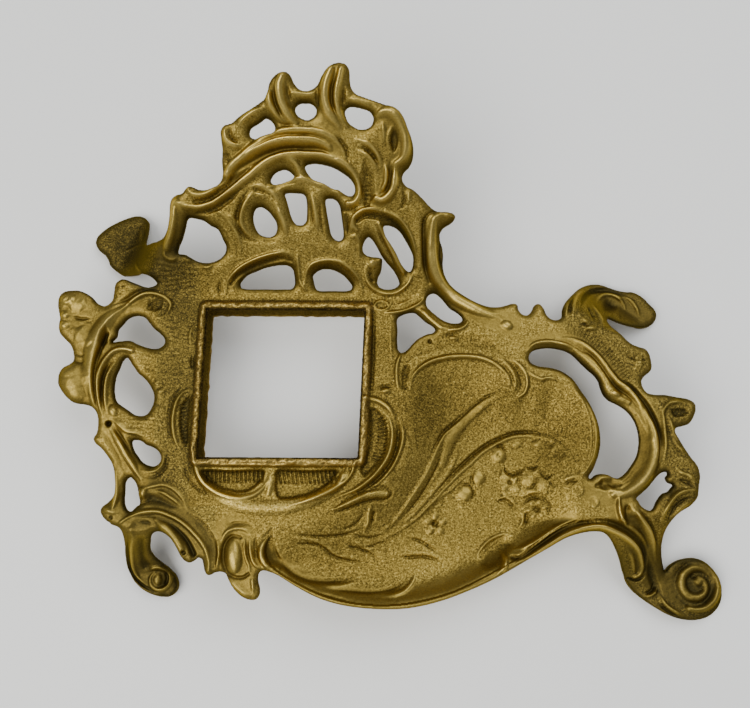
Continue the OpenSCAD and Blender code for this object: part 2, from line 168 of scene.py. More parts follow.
OUTLINE = [
    # left end, from the slit beside the back left foot
    (-71.2, 25), (-74, 24), (-78, 25.2), (-81.3, 26.2), (-83.6, 25), (-84.4, 22.5), (-85.2, 19.9),
    (-87.3, 18.5), (-89.5, 19.4), (-91.5, 21.5), (-94.6, 23), (-97, 23.1), (-99.4, 22.8),
    (-101, 21.5), (-101.5, 19.5), (-101.2, 17.3), (-100.7, 14.7), (-101, 12.3), (-100.4, 10.1),
    (-98.9, 8.4), (-97.1, 6.6), (-96.2, 4.5), (-96.1, 1.8), (-97.4, 0.6), (-99.2, -0.4),
    (-100.3, -2.4), (-100.4, -5), (-99.5, -6.9), (-97.8, -9), (-95.4, -10.9), (-92, -11.5),
    (-89.8, -12.3), (-88.4, -14.1), (-87.9, -17), (-88.2, -20), (-89.1, -21.6), (-88.5, -23),
    (-86.8, -24.4), (-84.9, -26.6), (-83.2, -29.2), (-82.3, -32), (-82, -35), (-82.3, -38.1),
    (-83.9, -40.3), (-85.8, -41.8), (-86.2, -43.1), (-85.4, -44.7), (-83.2, -46.7),
    (-80.6, -47.9),
    # front left foot
    (-79.8, -50), (-80.1, -53), (-81.1, -56.5), (-81.4, -60.5), (-79.9, -64), (-77.6, -66.5),
    (-74.6, -68.4), (-71.2, -69.4), (-68.2, -69.2), (-66.4, -67.4), (-66.2, -65.2),
    (-67, -63), (-68.7, -61), (-70.5, -58.9), (-72.4, -56.7), (-72.9, -54.4), (-72.2, -52),
    (-71.2, -49.7), (-69, -48.9),
    # tongue, scroll and shell
    (-66.6, -49.7), (-64.7, -51.3), (-63.3, -53.6), (-62.2, -55.8), (-61, -57.3), (-59.5, -57.9),
    (-58.2, -57.4), (-57, -56.5), (-55.9, -56.9), (-55.4, -58.6), (-55, -60.3), (-54.2, -61.4),
    (-53.2, -61.4), (-52.1, -60.8), (-50.4, -60.5), (-48.9, -61), (-48, -62.7), (-46.9, -64.7),
    (-45.5, -66.4), (-43.7, -67.8), (-41.8, -68.5), (-39.9, -68.4), (-38.9, -67.1),
    (-38.8, -65.2), (-39.3, -63.3), (-39.3, -61.5), (-38.8, -60.5), (-37.7, -60.1),
    # front edge of the tray
    (-35.9, -60.5), (-33.3, -61.6), (-28, -64.8), (-21, -68.2), (-13.4, -70.2), (-4, -71.1),
    (4.8, -70.8), (13.6, -68.9), (22.5, -65.7), (30.6, -62), (39.9, -56.8), (45.5, -53.7),
    (51.2, -50.7), (55, -49.5), (59.5, -48.9),
    # front right foot
    (62.5, -49.4), (64.6, -51.2), (66.6, -54), (68.6, -57.4), (70.2, -61), (72.1, -64.6),
    (74.6, -67.8), (78.1, -70.6), (81.9, -73.1), (85.6, -75.1), (89.6, -76.2), (93.5, -76.3),
    (96.9, -75.4), (99.6, -73.4), (101.2, -70.7), (101.7, -67.6), (101.2, -64.5), (99.5, -61.5),
    (97, -59), (94, -57.7), (90.9, -57.6), (87.8, -58.3), (85.6, -59.8), (84.2, -61.6),
    (83, -59), (81.9, -55.5), (81.3, -51.8), (81.7, -48.5), (83.2, -45.4), (85.5, -43.2),
    (88.3, -41.4),
    # ornament right of the loop
    (90.2, -39), (90.6, -36), (91.1, -32.8), (90.5, -29.8), (88.6, -27.2), (87.1, -24.8),
    (85.3, -21.9), (84.2, -19.8), (84.5, -18.6), (86.4, -18), (88.4, -17.3), (89.6, -15.8),
    (90.7, -13), (90.4, -11.1), (88.6, -9.9), (85.4, -9.3), (81.5, -8.6), (78.3, -8.5),
    (76.3, -7.9), (75.1, -6.2), (74.8, -4.3), (75.8, -2.9), (77.4, -1.6), (78, -0.4),
    (77.9, 1.6), (77.4, 3.8), (76.3, 5.3), (74.2, 6), (72.2, 6.9), (70.4, 8.4), (68.8, 10.3),
    (67.4, 12.4), (66.4, 14.8),
    # back right foot
    (67.2, 16), (70.5, 15.2), (74.5, 14.6), (78, 14.5), (81.2, 14.8), (83.6, 15.8), (85, 18),
    (84.8, 20.3), (83, 22.4), (80.9, 24.6), (78.2, 26.2), (74.2, 26.6), (70.6, 27.7),
    (67.2, 28.8), (63.6, 28.7), (60.2, 27), (57, 24.2), (54.4, 21.6), (52.4, 19.2),
    (51.6, 17.2), (51.4, 15.2), (50.2, 14.2), (48.2, 14.4), (46.7, 15.8), (45.9, 17.8),
    (44.6, 19.1), (43.2, 18.7), (42.2, 16.8), (40.9, 15.6), (39.3, 16), (38.3, 17.3),
    (37.9, 18.9), (36.6, 19.2), (34.4, 18.6), (32, 18.1), (29.2, 18.3),
    # outer edge of the crest, from right to left
    (26.4, 19.2), (23.6, 20.6), (21, 22.1), (18.9, 23.5), (17.1, 25.2), (15.8, 27.2), (15.1, 29.6),
    (15.1, 32.3), (14.7, 34.4), (14, 36.1), (13.9, 37.8), (14.8, 39.2), (16.4, 40.1),
    (17.7, 41), (18.2, 42), (17.3, 42.8), (15.6, 43.1), (13.8, 43.1), (12.1, 43.5),
    (10.7, 44.4), (9.2, 45.7), (7.3, 47.3), (5.5, 48.5), (3.8, 49.2), (2.6, 50.6), (2.9, 52.4),
    (4.4, 53.7), (5.4, 55.4), (5.6, 57.6), (5, 60), (3.8, 62.4), (2.9, 64.3), (1.7, 65.9),
    (0, 67), (-2.4, 67.5), (-5.7, 68.4), (-8.6, 69.2), (-10.4, 69.8), (-11.6, 71),
    (-12, 72.8), (-12.1, 74.7), (-13, 75.9), (-14.7, 76.3), (-16.6, 76), (-18.4, 74.9),
    (-19.7, 73.4), (-20.8, 71.7), (-22.2, 70.8), (-24, 70.4), (-25.8, 70.8), (-27.1, 72),
    (-27.9, 73.5), (-29.1, 74.4), (-30.9, 74.3), (-32.6, 73.4), (-33.8, 72), (-34.3, 70.3),
    (-35.2, 68.9), (-37, 67.8), (-40, 66.3), (-42.7, 64.9), (-44.9, 63.5), (-46.9, 63),
    (-48, 61.9), (-48.1, 60.2), (-48, 57.5), (-48.4, 54.8), (-48.4, 52.6), (-48.9, 50.8),
    (-50.2, 49.5), (-52.4, 48.7), (-54.3, 48.3), (-56, 48.5), (-57.3, 49), (-58.5, 49.2),
    (-59.6, 48.5), (-60.7, 47.6), (-63, 47.6), (-64.6, 47.3), (-65.3, 46), (-65.4, 43.5),
    (-65.8, 41), (-66.6, 38.8), (-67.9, 37.2),
    # back left foot
    (-70, 36.8), (-73, 37.6), (-76, 38.6), (-77.2, 40.2), (-77.4, 43), (-77.8, 46.5),
    (-78.8, 49.6), (-80.6, 51.3), (-83.2, 51.6), (-86.6, 50.6), (-90, 49), (-93.2, 46.9),
    (-95.4, 44.6), (-95.8, 42.5), (-94.6, 40.2), (-92.6, 38.6), (-91.5, 36.9), (-90.8, 35.1),
    (-88.8, 33.3), (-86, 31.6), (-82.4, 30.4), (-78.6, 29.2), (-75, 28), (-72.4, 26.6)]

GALLERY_1 = [(-77.2, 15.6), (-75, 15), (-73.4, 13.2), (-72, 11.5), (-70, 9.9), (-68.7, 8.3),
             (-68.8, 6.8), (-70.2, 5.6), (-72.2, 5.4), (-74.8, 6), (-76.9, 6.8), (-79, 7.8),
             (-82, 7.7), (-84.6, 7.5), (-83.3, 9), (-82.9, 11.2), (-81.6, 12.8), (-79.8, 14.8)]
GALLERY_2 = [(-80, 2.8), (-78, 0.2), (-76.4, -2), (-74.7, -3.4), (-72.9, -5.5), (-71.5, -8.4),
             (-71.4, -10), (-71.8, -11.8), (-73.3, -14.3), (-75, -14.9), (-77.2, -14.5),
             (-79.1, -13.2), (-81.2, -11.8), (-82.7, -10.6), (-83.4, -8), (-83.4, -5.2),
             (-83, -2.8), (-82.1, -0.6), (-81.3, 1.6)]
GALLERY_3 = [(-77.5, -22.3), (-75, -22.3), (-73.3, -23.5), (-71.4, -24.2), (-69.7, -25.3),
             (-68.8, -26.9), (-69, -28.6), (-70.5, -29.8), (-72.5, -29.6), (-74.4, -28.6),
             (-75.9, -26.7), (-77.1, -24.9)]
GALLERY_4 = [(-77.8, -33.1), (-76.4, -34.2), (-75.6, -35.8), (-75, -38.7), (-74.6, -40.8),
             (-75.8, -41.8), (-77, -43), (-78, -43), (-78.8, -42), (-79.3, -40), (-79.2, -37),
             (-79, -34.2)]
STAY_GAP = [(-59.6, 41.7), (-57.2, 41.6), (-55, 41), (-53.3, 39.9), (-51.5, 39.1), (-50.7, 37.9),
            (-50.1, 36.4), (-49.3, 34.7), (-49.6, 33.2), (-50.9, 31.8), (-53, 30.8),
            (-55.6, 30.4), (-58.1, 30.8), (-60, 31.7), (-61.6, 32.5), (-63.7, 32.9),
            (-63.2, 34.7), (-61.9, 36.8), (-60.7, 39.4)]
FAN_1 = [(-38, 44.4), (-39.7, 44.1), (-40.5, 42.8), (-40.7, 41), (-40.3, 39.4), (-39.3, 37.8),
         (-37.8, 37.1), (-36, 37), (-34.6, 37.6), (-33.9, 39.1), (-34.1, 40.7), (-35, 42.1),
         (-36.3, 43.5)]
FAN_2 = [(-31.1, 47.5), (-28.3, 47.8), (-25.5, 47.3), (-24.9, 45.2), (-25, 42.6), (-25.3, 40.8),
         (-26.5, 39.9), (-28, 40), (-29, 40.8), (-29.8, 42.6), (-30.3, 44.6), (-30.8, 46.3)]
FAN_3 = [(-19.4, 46.2), (-17.7, 46.5), (-16.3, 45.9), (-15.5, 44.9), (-15.1, 43), (-14.8, 40.8),
         (-14.5, 38.3), (-14.7, 36.6), (-15.8, 36), (-17.2, 36.5), (-18.1, 37.6), (-18.5, 39.4),
         (-18.9, 41.5), (-19.3, 44)]
ARCH_1 = [(-25, 54), (-22.6, 54.6), (-19.6, 54.3), (-16.8, 53.6), (-14.3, 52.4), (-12.2, 51),
          (-11.1, 49.4), (-11, 48), (-11.7, 47), (-13, 47), (-14.4, 47.6), (-15.6, 48.3),
          (-17.4, 48.6), (-19.9, 49.8), (-22.8, 50.7), (-23.9, 51.7), (-24.8, 52.9)]
ARCH_2 = [(-34.4, 51.7), (-33.1, 52.7), (-30.7, 53.2), (-29, 52.5), (-28.2, 51.5),
          (-28.9, 50.6), (-30.4, 50.1), (-32.5, 49.6), (-34.2, 49.6), (-35, 50.5)]
FLAME_1 = [(-35.3, 64.7), (-33.6, 63.9), (-32.9, 62.4), (-33.5, 61.2), (-35, 60.8),
           (-37.2, 60.4), (-38.6, 60), (-39.8, 60.4), (-40.1, 61.4), (-39.6, 62.5),
           (-38.2, 63.2), (-36.8, 63.9)]
FLAME_2 = [(-27.1, 66.8), (-26.2, 67.7), (-24.3, 68), (-22.3, 67.7), (-21.3, 66.7),
           (-21.5, 65.4), (-22.5, 64.6), (-23.7, 64.2), (-25.4, 64.5), (-26.8, 65.5)]
FLAME_3 = [(-13.4, 66.3), (-12.4, 67.1), (-10.6, 67.1), (-8.2, 66.6), (-6.3, 65.9),
           (-5.6, 64.6), (-6.2, 63), (-7.7, 62.2), (-9.5, 62.1), (-11.1, 62.7), (-12.4, 63.5),
           (-13.2, 64.8)]
MOON_1 = [(-45.9, 25.1), (-44.9, 26.3), (-43.5, 27.4), (-41, 28.3), (-38.4, 29.2),
          (-35.8, 29.7), (-33.3, 30), (-31.2, 29.8), (-29.9, 28.9), (-29.5, 27.1),
          (-29.4, 25.1), (-30.2, 23.7), (-33.2, 23.4), (-38, 23.4), (-44.2, 23.5),
          (-45.7, 23.9)]
MOON_2 = [(-23.9, 27.1), (-22.9, 28.1), (-21.1, 28.9), (-19.4, 29), (-17.7, 28.7),
          (-16.1, 28.1), (-14.4, 27.1), (-12.9, 25.6), (-12.1, 24.4), (-12.4, 23.4),
          (-13.6, 23), (-18, 23), (-22.7, 23.2), (-23.4, 24.4), (-23.7, 25.8)]
RING_1 = [(-7.1, 37.1), (-6, 36.4), (-4.7, 34.7), (-3.3, 32.5), (-1.7, 30.6), (-0.2, 29.2),
          (1.2, 27.4), (2, 25.8), (2.1, 24.8), (1.1, 23.9), (-0.5, 23.4), (-2.5, 23.5),
          (-3.9, 24.1), (-4.5, 25.2), (-4.3, 26.6), (-3.4, 28.3), (-3.1, 30), (-3.2, 31.5),
          (-5.6, 31.9), (-7.6, 32.3), (-8.7, 33.3), (-8.8, 34.8), (-8.2, 36.2)]
RING_2 = [(-2.6, 39.8), (-0.6, 39.9), (1.1, 39.3), (2.7, 38), (4, 36.2), (5.3, 34.2),
          (6.1, 32.4), (6.2, 30.5), (5.9, 28.9), (5.2, 28.1), (4.3, 28.4), (3.1, 29.5),
          (2.1, 31), (1, 33), (-0.6, 35.2), (-2, 36.9), (-2.6, 38.4)]
STAY_SLOT = [(11.5, 22.1), (12.9, 22.3), (14.6, 21.2), (16.1, 19.5), (17.5, 17.8),
             (19.4, 16.6), (20.9, 15.3), (21.3, 14.3), (20.6, 13.4), (18.7, 13.1),
             (16.7, 13.5), (15, 14.3), (13.3, 15.6), (11.7, 17), (10.5, 18.4), (10.3, 19.9),
             (10.7, 21.3)]
STAY_TRIANGLE = [(1.6, 14.6), (3, 15.7), (5.3, 16.4), (7, 16.3), (8.5, 15.1), (10, 13.7),
                 (12, 12.4), (13, 11.2), (12.4, 10.3), (10.3, 9.7), (8, 8.5), (6.3, 7),
                 (5, 5.5), (3.6, 4.3), (2.6, 4.1), (1.8, 5), (1.5, 7.3), (1.6, 10.7)]
HANDLE_GAP = [(42.8, 4.9), (45.4, 5.5), (47.8, 5.6), (50.2, 5.2), (52.6, 4.5), (54.6, 3.2),
              (56.5, 1.2), (58.5, -0.8), (60.4, -2.6), (61.7, -4.4), (62.4, -6.7),
              (63.4, -8.9), (65, -10.4), (67.2, -11.5), (69.3, -12.8), (71.1, -14.6),
              (72.4, -16.8), (73.2, -19.3), (73.5, -22), (73.2, -24.7), (72.5, -27.1),
              (71.3, -29.1), (69.8, -31.1), (68.2, -32.7), (66.8, -33.4), (65.4, -33.2),
              (64, -32.5), (61.9, -32.1), (60.1, -32.5), (58.5, -33.6), (58.1, -32.9),
              (59.3, -31.1), (60.3, -28.9), (61.2, -26.4), (61.8, -23.6), (61.9, -20.7),
              (61.5, -17.8), (60.7, -15), (59.6, -12.4), (58.2, -9.8), (56.6, -7.5),
              (55.3, -5.4), (53.9, -3.6), (52.1, -2.2), (50, -1.1), (47.2, -0.4),
              (44.3, 0), (42.2, 0.8), (41.2, 1.9), (41.2, 3.2), (41.8, 4.2)]
HANDLE_SLOT = [(81.4, -31.6), (79.9, -31.7), (78.6, -32.6), (77, -34.4), (75.4, -36.2),
               (73.5, -37.9), (72, -39.3), (72.6, -40.3), (73.2, -41.4), (74.5, -42.4),
               (76.1, -42.9), (77, -42.2), (77.7, -40.6), (78.7, -39.1), (79.8, -37.9),
               (81.4, -37.3), (82.3, -36.3), (83, -35.4), (81.7, -34.8), (80.9, -33.9),
               (80.9, -33), (81.5, -32.4)]
WELL = [(-56, 17.5), (-8, 17.2), (-10, -27.8), (-58, -27.5)]

HOLES = [GALLERY_1, GALLERY_2, GALLERY_3, GALLERY_4, STAY_GAP, FAN_1, FAN_2, FAN_3, ARCH_1,
         ARCH_2, FLAME_1, FLAME_2, FLAME_3, MOON_1, MOON_2, RING_1, RING_2, STAY_SLOT,
         STAY_TRIANGLE, HANDLE_GAP, HANDLE_SLOT]


def straight(corners, spacing=2.0):
    """A closed polygon with points along its straight sides."""
    out = []
    for a, b in zip(corners, corners[1:] + corners[:1]):
        a, b = np.array(a, float), np.array(b, float)
        n = max(int(np.linalg.norm(b - a) / spacing), 1)
        out += [a + (b - a) * k / n for k in range(n)]
    return np.array(out)


# ---- the casting's maps ----

def along_line(start, way):
    """How far each grid point lies from start in a direction."""
    length = math.hypot(*way)
    return ((GX - start[0]) * way[0] + (GY - start[1]) * way[1]) / length


def sheet_height():
    """Height of the sheet: flat, leaning in the crest, running down to each foot."""
    t = GY - HINGE
    rise = np.where(t > 0, np.sqrt(t * t + 9) - 3, 0)
    z = BODY + LEAN * rise * (1 - step(38, 62, GX))
    back_left = step(0, 20, along_line((-68, 30), (-0.9, 0.43))) * step(26.5, 29.5, GY)
    z += (4.5 - z) * back_left
    back_right = step(0, 17, along_line((57, 14), (0.6, 0.8))) * step(9, 13, GY) * step(48, 54, GX)
    z += (4.2 - z) * back_right
    beside = step(-1.5, 1.5, along_line((-67, -57), (-66, -20)))
    front_left = step(0, 17, -(GY + 46.5)) * beside
    z += (4.5 - z) * front_left
    front_right = step(0, 26, along_line((66, -44), (0.3, -0.954))) * step(52, 64, GX)
    z += (5 - z) * front_right
    return z


edge_paths = [curve(OUTLINE, closed=True)] + [curve(h, closed=True) for h in HOLES]
well_path = straight(WELL)
solid = inside(edge_paths[0])
for path in edge_paths[1:] + [well_path]:
    solid &= ~inside(path)
edge = np.full(GX.shape, REACH)
for path in edge_paths:
    edge = np.minimum(edge, distance(np.vstack([path, path[:1]]), REACH)[0])
well_edge = distance(np.vstack([well_path, well_path[:1]]), REACH)[0]
signed = np.where(solid, np.minimum(edge, well_edge), -np.minimum(edge, well_edge))
ragged = step(4, 1, well_edge) * (seeded_noise(1.6, 21) + 0.6 * seeded_noise(0.6, 22))
signed = signed + 0.22 * ragged

base = sheet_height()


# ---- relief: ridges, hollows, bosses and strokes laid on the sheet ----

EYE = (-5.2, -38.15, 319.1)       # strokes on a foot are drawn as they look from here
ground = np.zeros(GX.shape)       # broad hollows and swellings
ridge = np.zeros(GX.shape)        # ridges and bosses that stand on the ground
cuts = np.zeros(GX.shape)         # grooves, strokes and pits cut into both


def settled(points, plane):
    """Points drawn on a level plane, moved along the line to the eye point onto the sheet."""
    out = []
    for x, y in points:
        u, v = x, y
        for _ in range(6):
            j = int(np.clip(round((v - ys[0]) / CELL), 0, len(ys) - 1))
            i = int(np.clip(round((u - xs[0]) / CELL), 0, len(xs) - 1))
            k = (EYE[2] - base[j, i]) / (EYE[2] - plane)
            u = EYE[0] + (x - EYE[0]) * k
            v = EYE[1] + (y - EYE[1]) * k
        out.append((u, v))
    return out


def taper(along, length, ends, run=0.3):
    """1 in the middle of a stroke, falling to ends[0] and ends[1] at its two ends."""
    size = ends[0] + (1 - ends[0]) * step(0, run * length, along)
    return size * (ends[1] + (1 - ends[1]) * step(0, run * length, length - along))


def bead(points, width, height, ends=(0.4, 0.4), closed=False, power=0.9):
    """A ridge with a rounded section that follows the points and narrows towards its ends."""
    global ridge
    path = curve(points, closed=closed)
    if closed:
        path = np.vstack([path, path[:1]])
        ends = (1, 1)
    d, along, _, length = distance(path, width)
    size = taper(along, length, ends)
    profile = np.clip(1 - (2 * d / (width * size))**2, 0, 1)**power
    ridge = np.maximum(ridge, height * size * profile)


def fold(points, width, height, side, ends=(0.4, 0.4)):
    """A ridge that drops steeply on one side (1 left of its run, -1 right) and runs out softly."""
    global ridge
    d, along, way, length = distance(curve(points), width)
    size = taper(along, length, ends)
    reach = width * size * np.where(way * side > 0, 0.3, 1.0)
    profile = np.clip(1 - d / reach, 0, 1)
    profile = np.where(way * side > 0, profile**0.5, profile**1.6)
    ridge = np.maximum(ridge, height * size * profile)


def groove(points, width, depth, ends=(0.3, 0.3), closed=False):
    """A narrow hollow that follows the points."""
    global cuts
    path = curve(points, closed=closed)
    if closed:
        path = np.vstack([path, path[:1]])
        ends = (1, 1)
    d, along, _, length = distance(path, 1.3 * width)
    size = taper(along, length, ends)
    cuts = np.maximum(cuts, depth * size * np.exp(-3.2 * (d / (width * size))**2 * 1.6))


def trough(points, width, depth, ends=(0.3, 0.3)):
    """A broad smooth hollow along the points; a negative depth makes a swelling."""
    global ground
    d, along, _, length = distance(curve(points), 0.5 * width)
    size = taper(along, length, ends)
    ground = ground - depth * size * np.clip(1 - (2 * d / (width * size))**2, 0, 1)**1.5


def hollow(points, depth, slope):
    """A sunk field inside a closed curve, with a wall this wide."""
    global ground
    path = curve(points, closed=True)
    d = distance(np.vstack([path, path[:1]]), slope)[0]
    ground = ground - depth * np.where(inside(path), step(0, slope, d), 0)


def boss(centre, size, height, angle=0.0, power=0.7):
    """A rounded lump."""
    global ridge
    turn = math.radians(angle)
    x = (GX - centre[0]) * math.cos(turn) + (GY - centre[1]) * math.sin(turn)
    y = (GY - centre[1]) * math.cos(turn) - (GX - centre[0]) * math.sin(turn)
    r = (x / size[0])**2 + (y / size[1])**2
    ridge = np.maximum(ridge, height * np.clip(1 - r, 0, 1)**power)


def pit(centre, radius, depth):
    """A small round hole in the surface."""
    global cuts
    r = np.hypot(GX - centre[0], GY - centre[1]) / radius
    cuts = np.maximum(cuts, depth * np.exp(-r**4 * 1.2))


def strokes(points, pitch, left, right, depth, lean=0.0):
    """Short cuts side by side across a line, reaching this far to its left and right."""
    global cuts
    reach = max(left, right, 0.01)
    d, along, way, length = distance(curve(points), reach)
    across = d * way
    wave = 0.5 + 0.5 * np.cos(2 * math.pi * (along + lean * across) / pitch)
    mask = step(-right, -0.8 * right, across) * step(-left, -0.8 * left, -across)
    mask *= step(0, pitch, along) * step(0, pitch, length - along) * (d < reach)
    cuts = np.maximum(cuts, depth * wave**1.5 * mask)


def flow_lines(points, pitch, left, right, depth):
    """Fine lines that run beside a line, one after another."""
    global cuts
    reach = max(left, right)
    d, along, way, length = distance(curve(points), reach)
    wave = 0.5 + 0.5 * np.cos(2 * math.pi * d / pitch)
    across = d * way
    mask = step(-right, -0.75 * right - 0.01, across) * step(-left, -0.75 * left - 0.01, -across)
    mask *= taper(along, length, (0, 0), 0.2) * (d < reach)
    cuts = np.maximum(cuts, depth * wave * mask)


def volute(centre, start, turns, outer, inner, width, height):
    """A ridge that winds in as a spiral; start is its angle in degrees, turns may be negative."""
    count = int(abs(turns) * 14) + 2
    path = []
    for k in range(count):
        t = k / (count - 1)
        a = math.radians(start) + 2 * math.pi * turns * t
        r = outer + (inner - outer) * t
        path.append((centre[0] + r * math.cos(a), centre[1] + r * math.sin(a)))
    bead(path, width, height, (0.8, 0.6))


# ---- the pen tray ----

TRAY_BACK = [(-35.5, -49.8), (-30, -47.5), (-24, -45), (-17, -42.5), (-10, -39.5), (-5, -36),
             (-0.5, -31.5), (2.6, -26.5), (4.2, -20), (4, -14), (4.2, -9), (5.6, -4), (7, -1.8),
             (9, 0), (11.5, 1.3), (14.5, 2.2), (18, 2.8), (22, 2.9), (26, 2.5), (29, 1.5),
             (31.5, 0), (33.5, -1.8), (36, -3), (39, -2.6), (41.2, -2.2), (43.2, -3.4),
             (44.6, -4), (46.1, -3.6), (48, -3.8), (50.5, -4.8), (53.5, -6.6), (56.2, -10),
             (58, -14), (58.8, -18.5), (58.8, -23), (58, -27), (56.2, -30.2), (54.5, -33.5),
             (53.8, -37.5), (54.6, -41), (55.5, -44)]
TRAY_FRONT = [(55.5, -44), (54, -46), (50, -47.4), (46, -49.4), (42.5, -52), (39.5, -54.4),
              (37, -56.4), (33.4, -58.4), (26, -62.3), (18, -66), (10, -68.4), (2, -69.8),
              (-6, -70), (-14, -69), (-21, -67), (-28, -63.8), (-33.5, -60.5), (-36.8, -57),
              (-37.2, -53), (-35.5, -49.8)]


TRAY_DEEP = 5.6           # depth of the tray below the plate
BACK_RUN = 20             # the tray falls gently over this width from its back edge
FRONT_RUN = 8.5           # and steeply over this one in front


def tray_depth():
    """How far the tray lies below the plate: a steep smooth wall in front, gentle behind."""
    back, front = curve(TRAY_BACK), curve(TRAY_FRONT)
    within = inside(np.vstack([back, front]))
    from_back = distance(back, BACK_RUN)[0] / BACK_RUN
    from_front = distance(front, FRONT_RUN)[0] / FRONT_RUN
    share = np.minimum(from_back**1.4 * (2.4 - 1.4 * from_back), 1 - (1 - from_front)**2)
    return np.where(within, TRAY_DEEP * blurred(share, 0.8), 0)


tray = tray_depth()

FLOOR_RIDGES = 0.75       # the tray's floor is worn, so its ridges are lower than drawn
FLOOR_CUTS = 1.4          # and its grooves are deeper
plain_ridge = ridge.copy()
# S-shaped leaf, its long blade, and the spray above it
bead([(33, -8.7), (30, -9.8), (27, -11.4), (24, -13.8), (21.5, -16.4), (19.3, -19), (17.5, -22),
      (16.3, -25.5), (15.2, -29)], 3.6, 0.75, (0.3, 0.6), power=0.4)
fold([(35.5, -8.8), (33, -8.5), (30, -9.3), (27, -10.9), (24, -13), (21, -15.8), (18, -18.3),
      (15.5, -20.6), (13.8, -24), (12, -28), (10.2, -32), (7, -37), (4, -41.5), (0.5, -46),
      (-4, -49.5)], 2.2, 0.8, -1, (0.2, 0.3))
groove([(34, -8), (30, -8.3), (27, -9.8), (24, -12), (21, -14.8), (18, -17.4), (15.3, -19.8),
        (13, -23.5), (11.2, -27.5)], 0.9, 0.45)
fold([(20.6, -21), (19.8, -25.5), (18, -29.8), (15.6, -33.6), (12, -37.8), (9, -41.2),
      (5, -45.3), (0, -49)], 1.8, 0.55, 1, (0.2, 0.3))
groove([(15.6, -24), (13.8, -29), (11, -34.5), (7, -40.5), (2.5, -45.5)], 0.7, 0.3)
bead([(52.6, -28.8), (52.2, -26.2), (50.6, -24), (48.4, -22.4), (46, -21.3), (43, -20.8),
      (40, -20.7), (37, -20.9), (34.5, -21.6), (31.5, -23.1), (28.5, -24.7), (26, -26.6),
      (24, -28.6), (21, -31.1), (18, -34.1), (15, -37.1), (13, -39.4), (10.5, -41.9), (8, -44.4),
      (5, -46.7), (1, -49.4), (-3, -51)], 1.3, 0.7, (0.4, 0.4))
groove([(50, -22.2), (47, -20.4), (43, -19.6), (40, -19.5), (36.5, -19.8), (33, -21), (29, -22.9),
        (25, -25.7), (21, -29.2), (17, -33.2), (13.5, -37)], 0.9, 0.55)
bead([(22.8, -32.2), (20, -34.4), (17.5, -36.7), (15, -38.6), (12.5, -40.8)], 1, 0.55)
bead([(19.4, -38.2), (17, -38.9), (15, -39.4)], 0.8, 0.4)
boss((20.5, -41.6), (1.2, 0.5), 0.5, -45)
boss((37.5, -23.1), (1.6, 1.3), 0.8, -20)
boss((43.6, -22.9), (1.5, 1.2), 0.8, 20)
boss((48.2, -24.5), (1.4, 1.1), 0.7, 40)
boss((51, -28), (1.2, 0.9), 0.6, 60)
boss((32, -26.6), (2.3, 2.3), 1.1)
pit((32, -26.5), 0.6, 0.3)
groove([(30.6, -24), (33, -23.6), (34.8, -25.2)], 0.9, 0.5)
boss((25.8, -33), (2.1, 2.4), 1.0, 12)
groove([(24.3, -31.2), (23.8, -34), (24.8, -36)], 0.6, 0.4)
boss((21.6, -37.8), (2.6, 2.4), 1.1)
groove([(20, -35.4), (23, -35.2), (24.6, -37.5), (23.6, -40)], 0.7, 0.4)

# five-petal flower
for turn in range(5):
    angle = math.radians(18 + 72 * turn)
    petal = (12.7 + 2.3 * math.cos(angle), -46.8 + 2.3 * math.sin(angle))
    boss(petal, (1.5, 1.2), 0.8, math.degrees(angle))
pit((12.7, -46.8), 0.8, 0.5)

# rose: a raised field with a scalloped edge, its petals parted by grooves
hollow([(32.2, -31), (33.7, -29.4), (34.3, -31.3), (35.9, -32.3), (37.8, -31.9), (38.9, -30.7),
        (39.9, -29.6), (40.8, -30.3), (42.1, -30.5), (43.4, -29.9), (44.2, -31.5), (45.1, -32.8),
        (46.6, -33.1), (47.4, -32.6), (46.8, -36), (46, -38.6), (42.5, -38.2), (39, -39.6),
        (36.8, -39.3), (33.5, -38.9), (32.2, -37.4), (31.4, -34)], -0.5, 1.0)
for outline in [[(33.8, -29.2), (34.3, -31), (35.9, -31.9), (37.8, -31.5), (38.8, -30.4)],
                [(39.9, -29.1), (40.8, -29.9), (42.1, -30.1), (43.3, -29.5)],
                [(44.1, -30.9), (45.1, -32.4), (46.6, -32.7), (47.6, -32)],
                [(31.2, -40.4), (33.4, -39.8), (35.4, -41), (36.4, -43)],
                [(39.1, -41.2), (40.8, -39.6), (43.2, -39.1), (45.4, -40), (46.5, -41.6),
                 (46, -43.8)]]:
    groove(outline, 0.8, 0.42, (0.5, 0.5))
for place, size, height, angle in [
        ((34, -33), (1.8, 1.1), 0.6, -20), ((33.6, -36), (1.5, 1.2), 0.6, 40),
        ((36.6, -36.4), (1.6, 1.2), 0.6, -30), ((36.6, -33.8), (1.4, 1), 0.5, 60),
        ((40.2, -34), (2.2, 1.9), 0.7, 0), ((44, -35.2), (1.7, 2.1), 0.6, 20),
        ((41.6, -37.2), (2.2, 1.1), 0.6, -10)]:
    boss(place, size, height, angle)
groove([(38, -32.4), (37.8, -34.6), (38.6, -37)], 0.7, 0.3)
groove([(42.2, -31.4), (42.6, -34), (41.8, -35.8), (39.4, -36.4)], 0.7, 0.3)
pit((35.2, -34.6), 0.6, 0.35)
bead([(31.6, -39.4), (33.6, -38.8), (35.8, -40), (37, -42)], 1.3, 0.7)

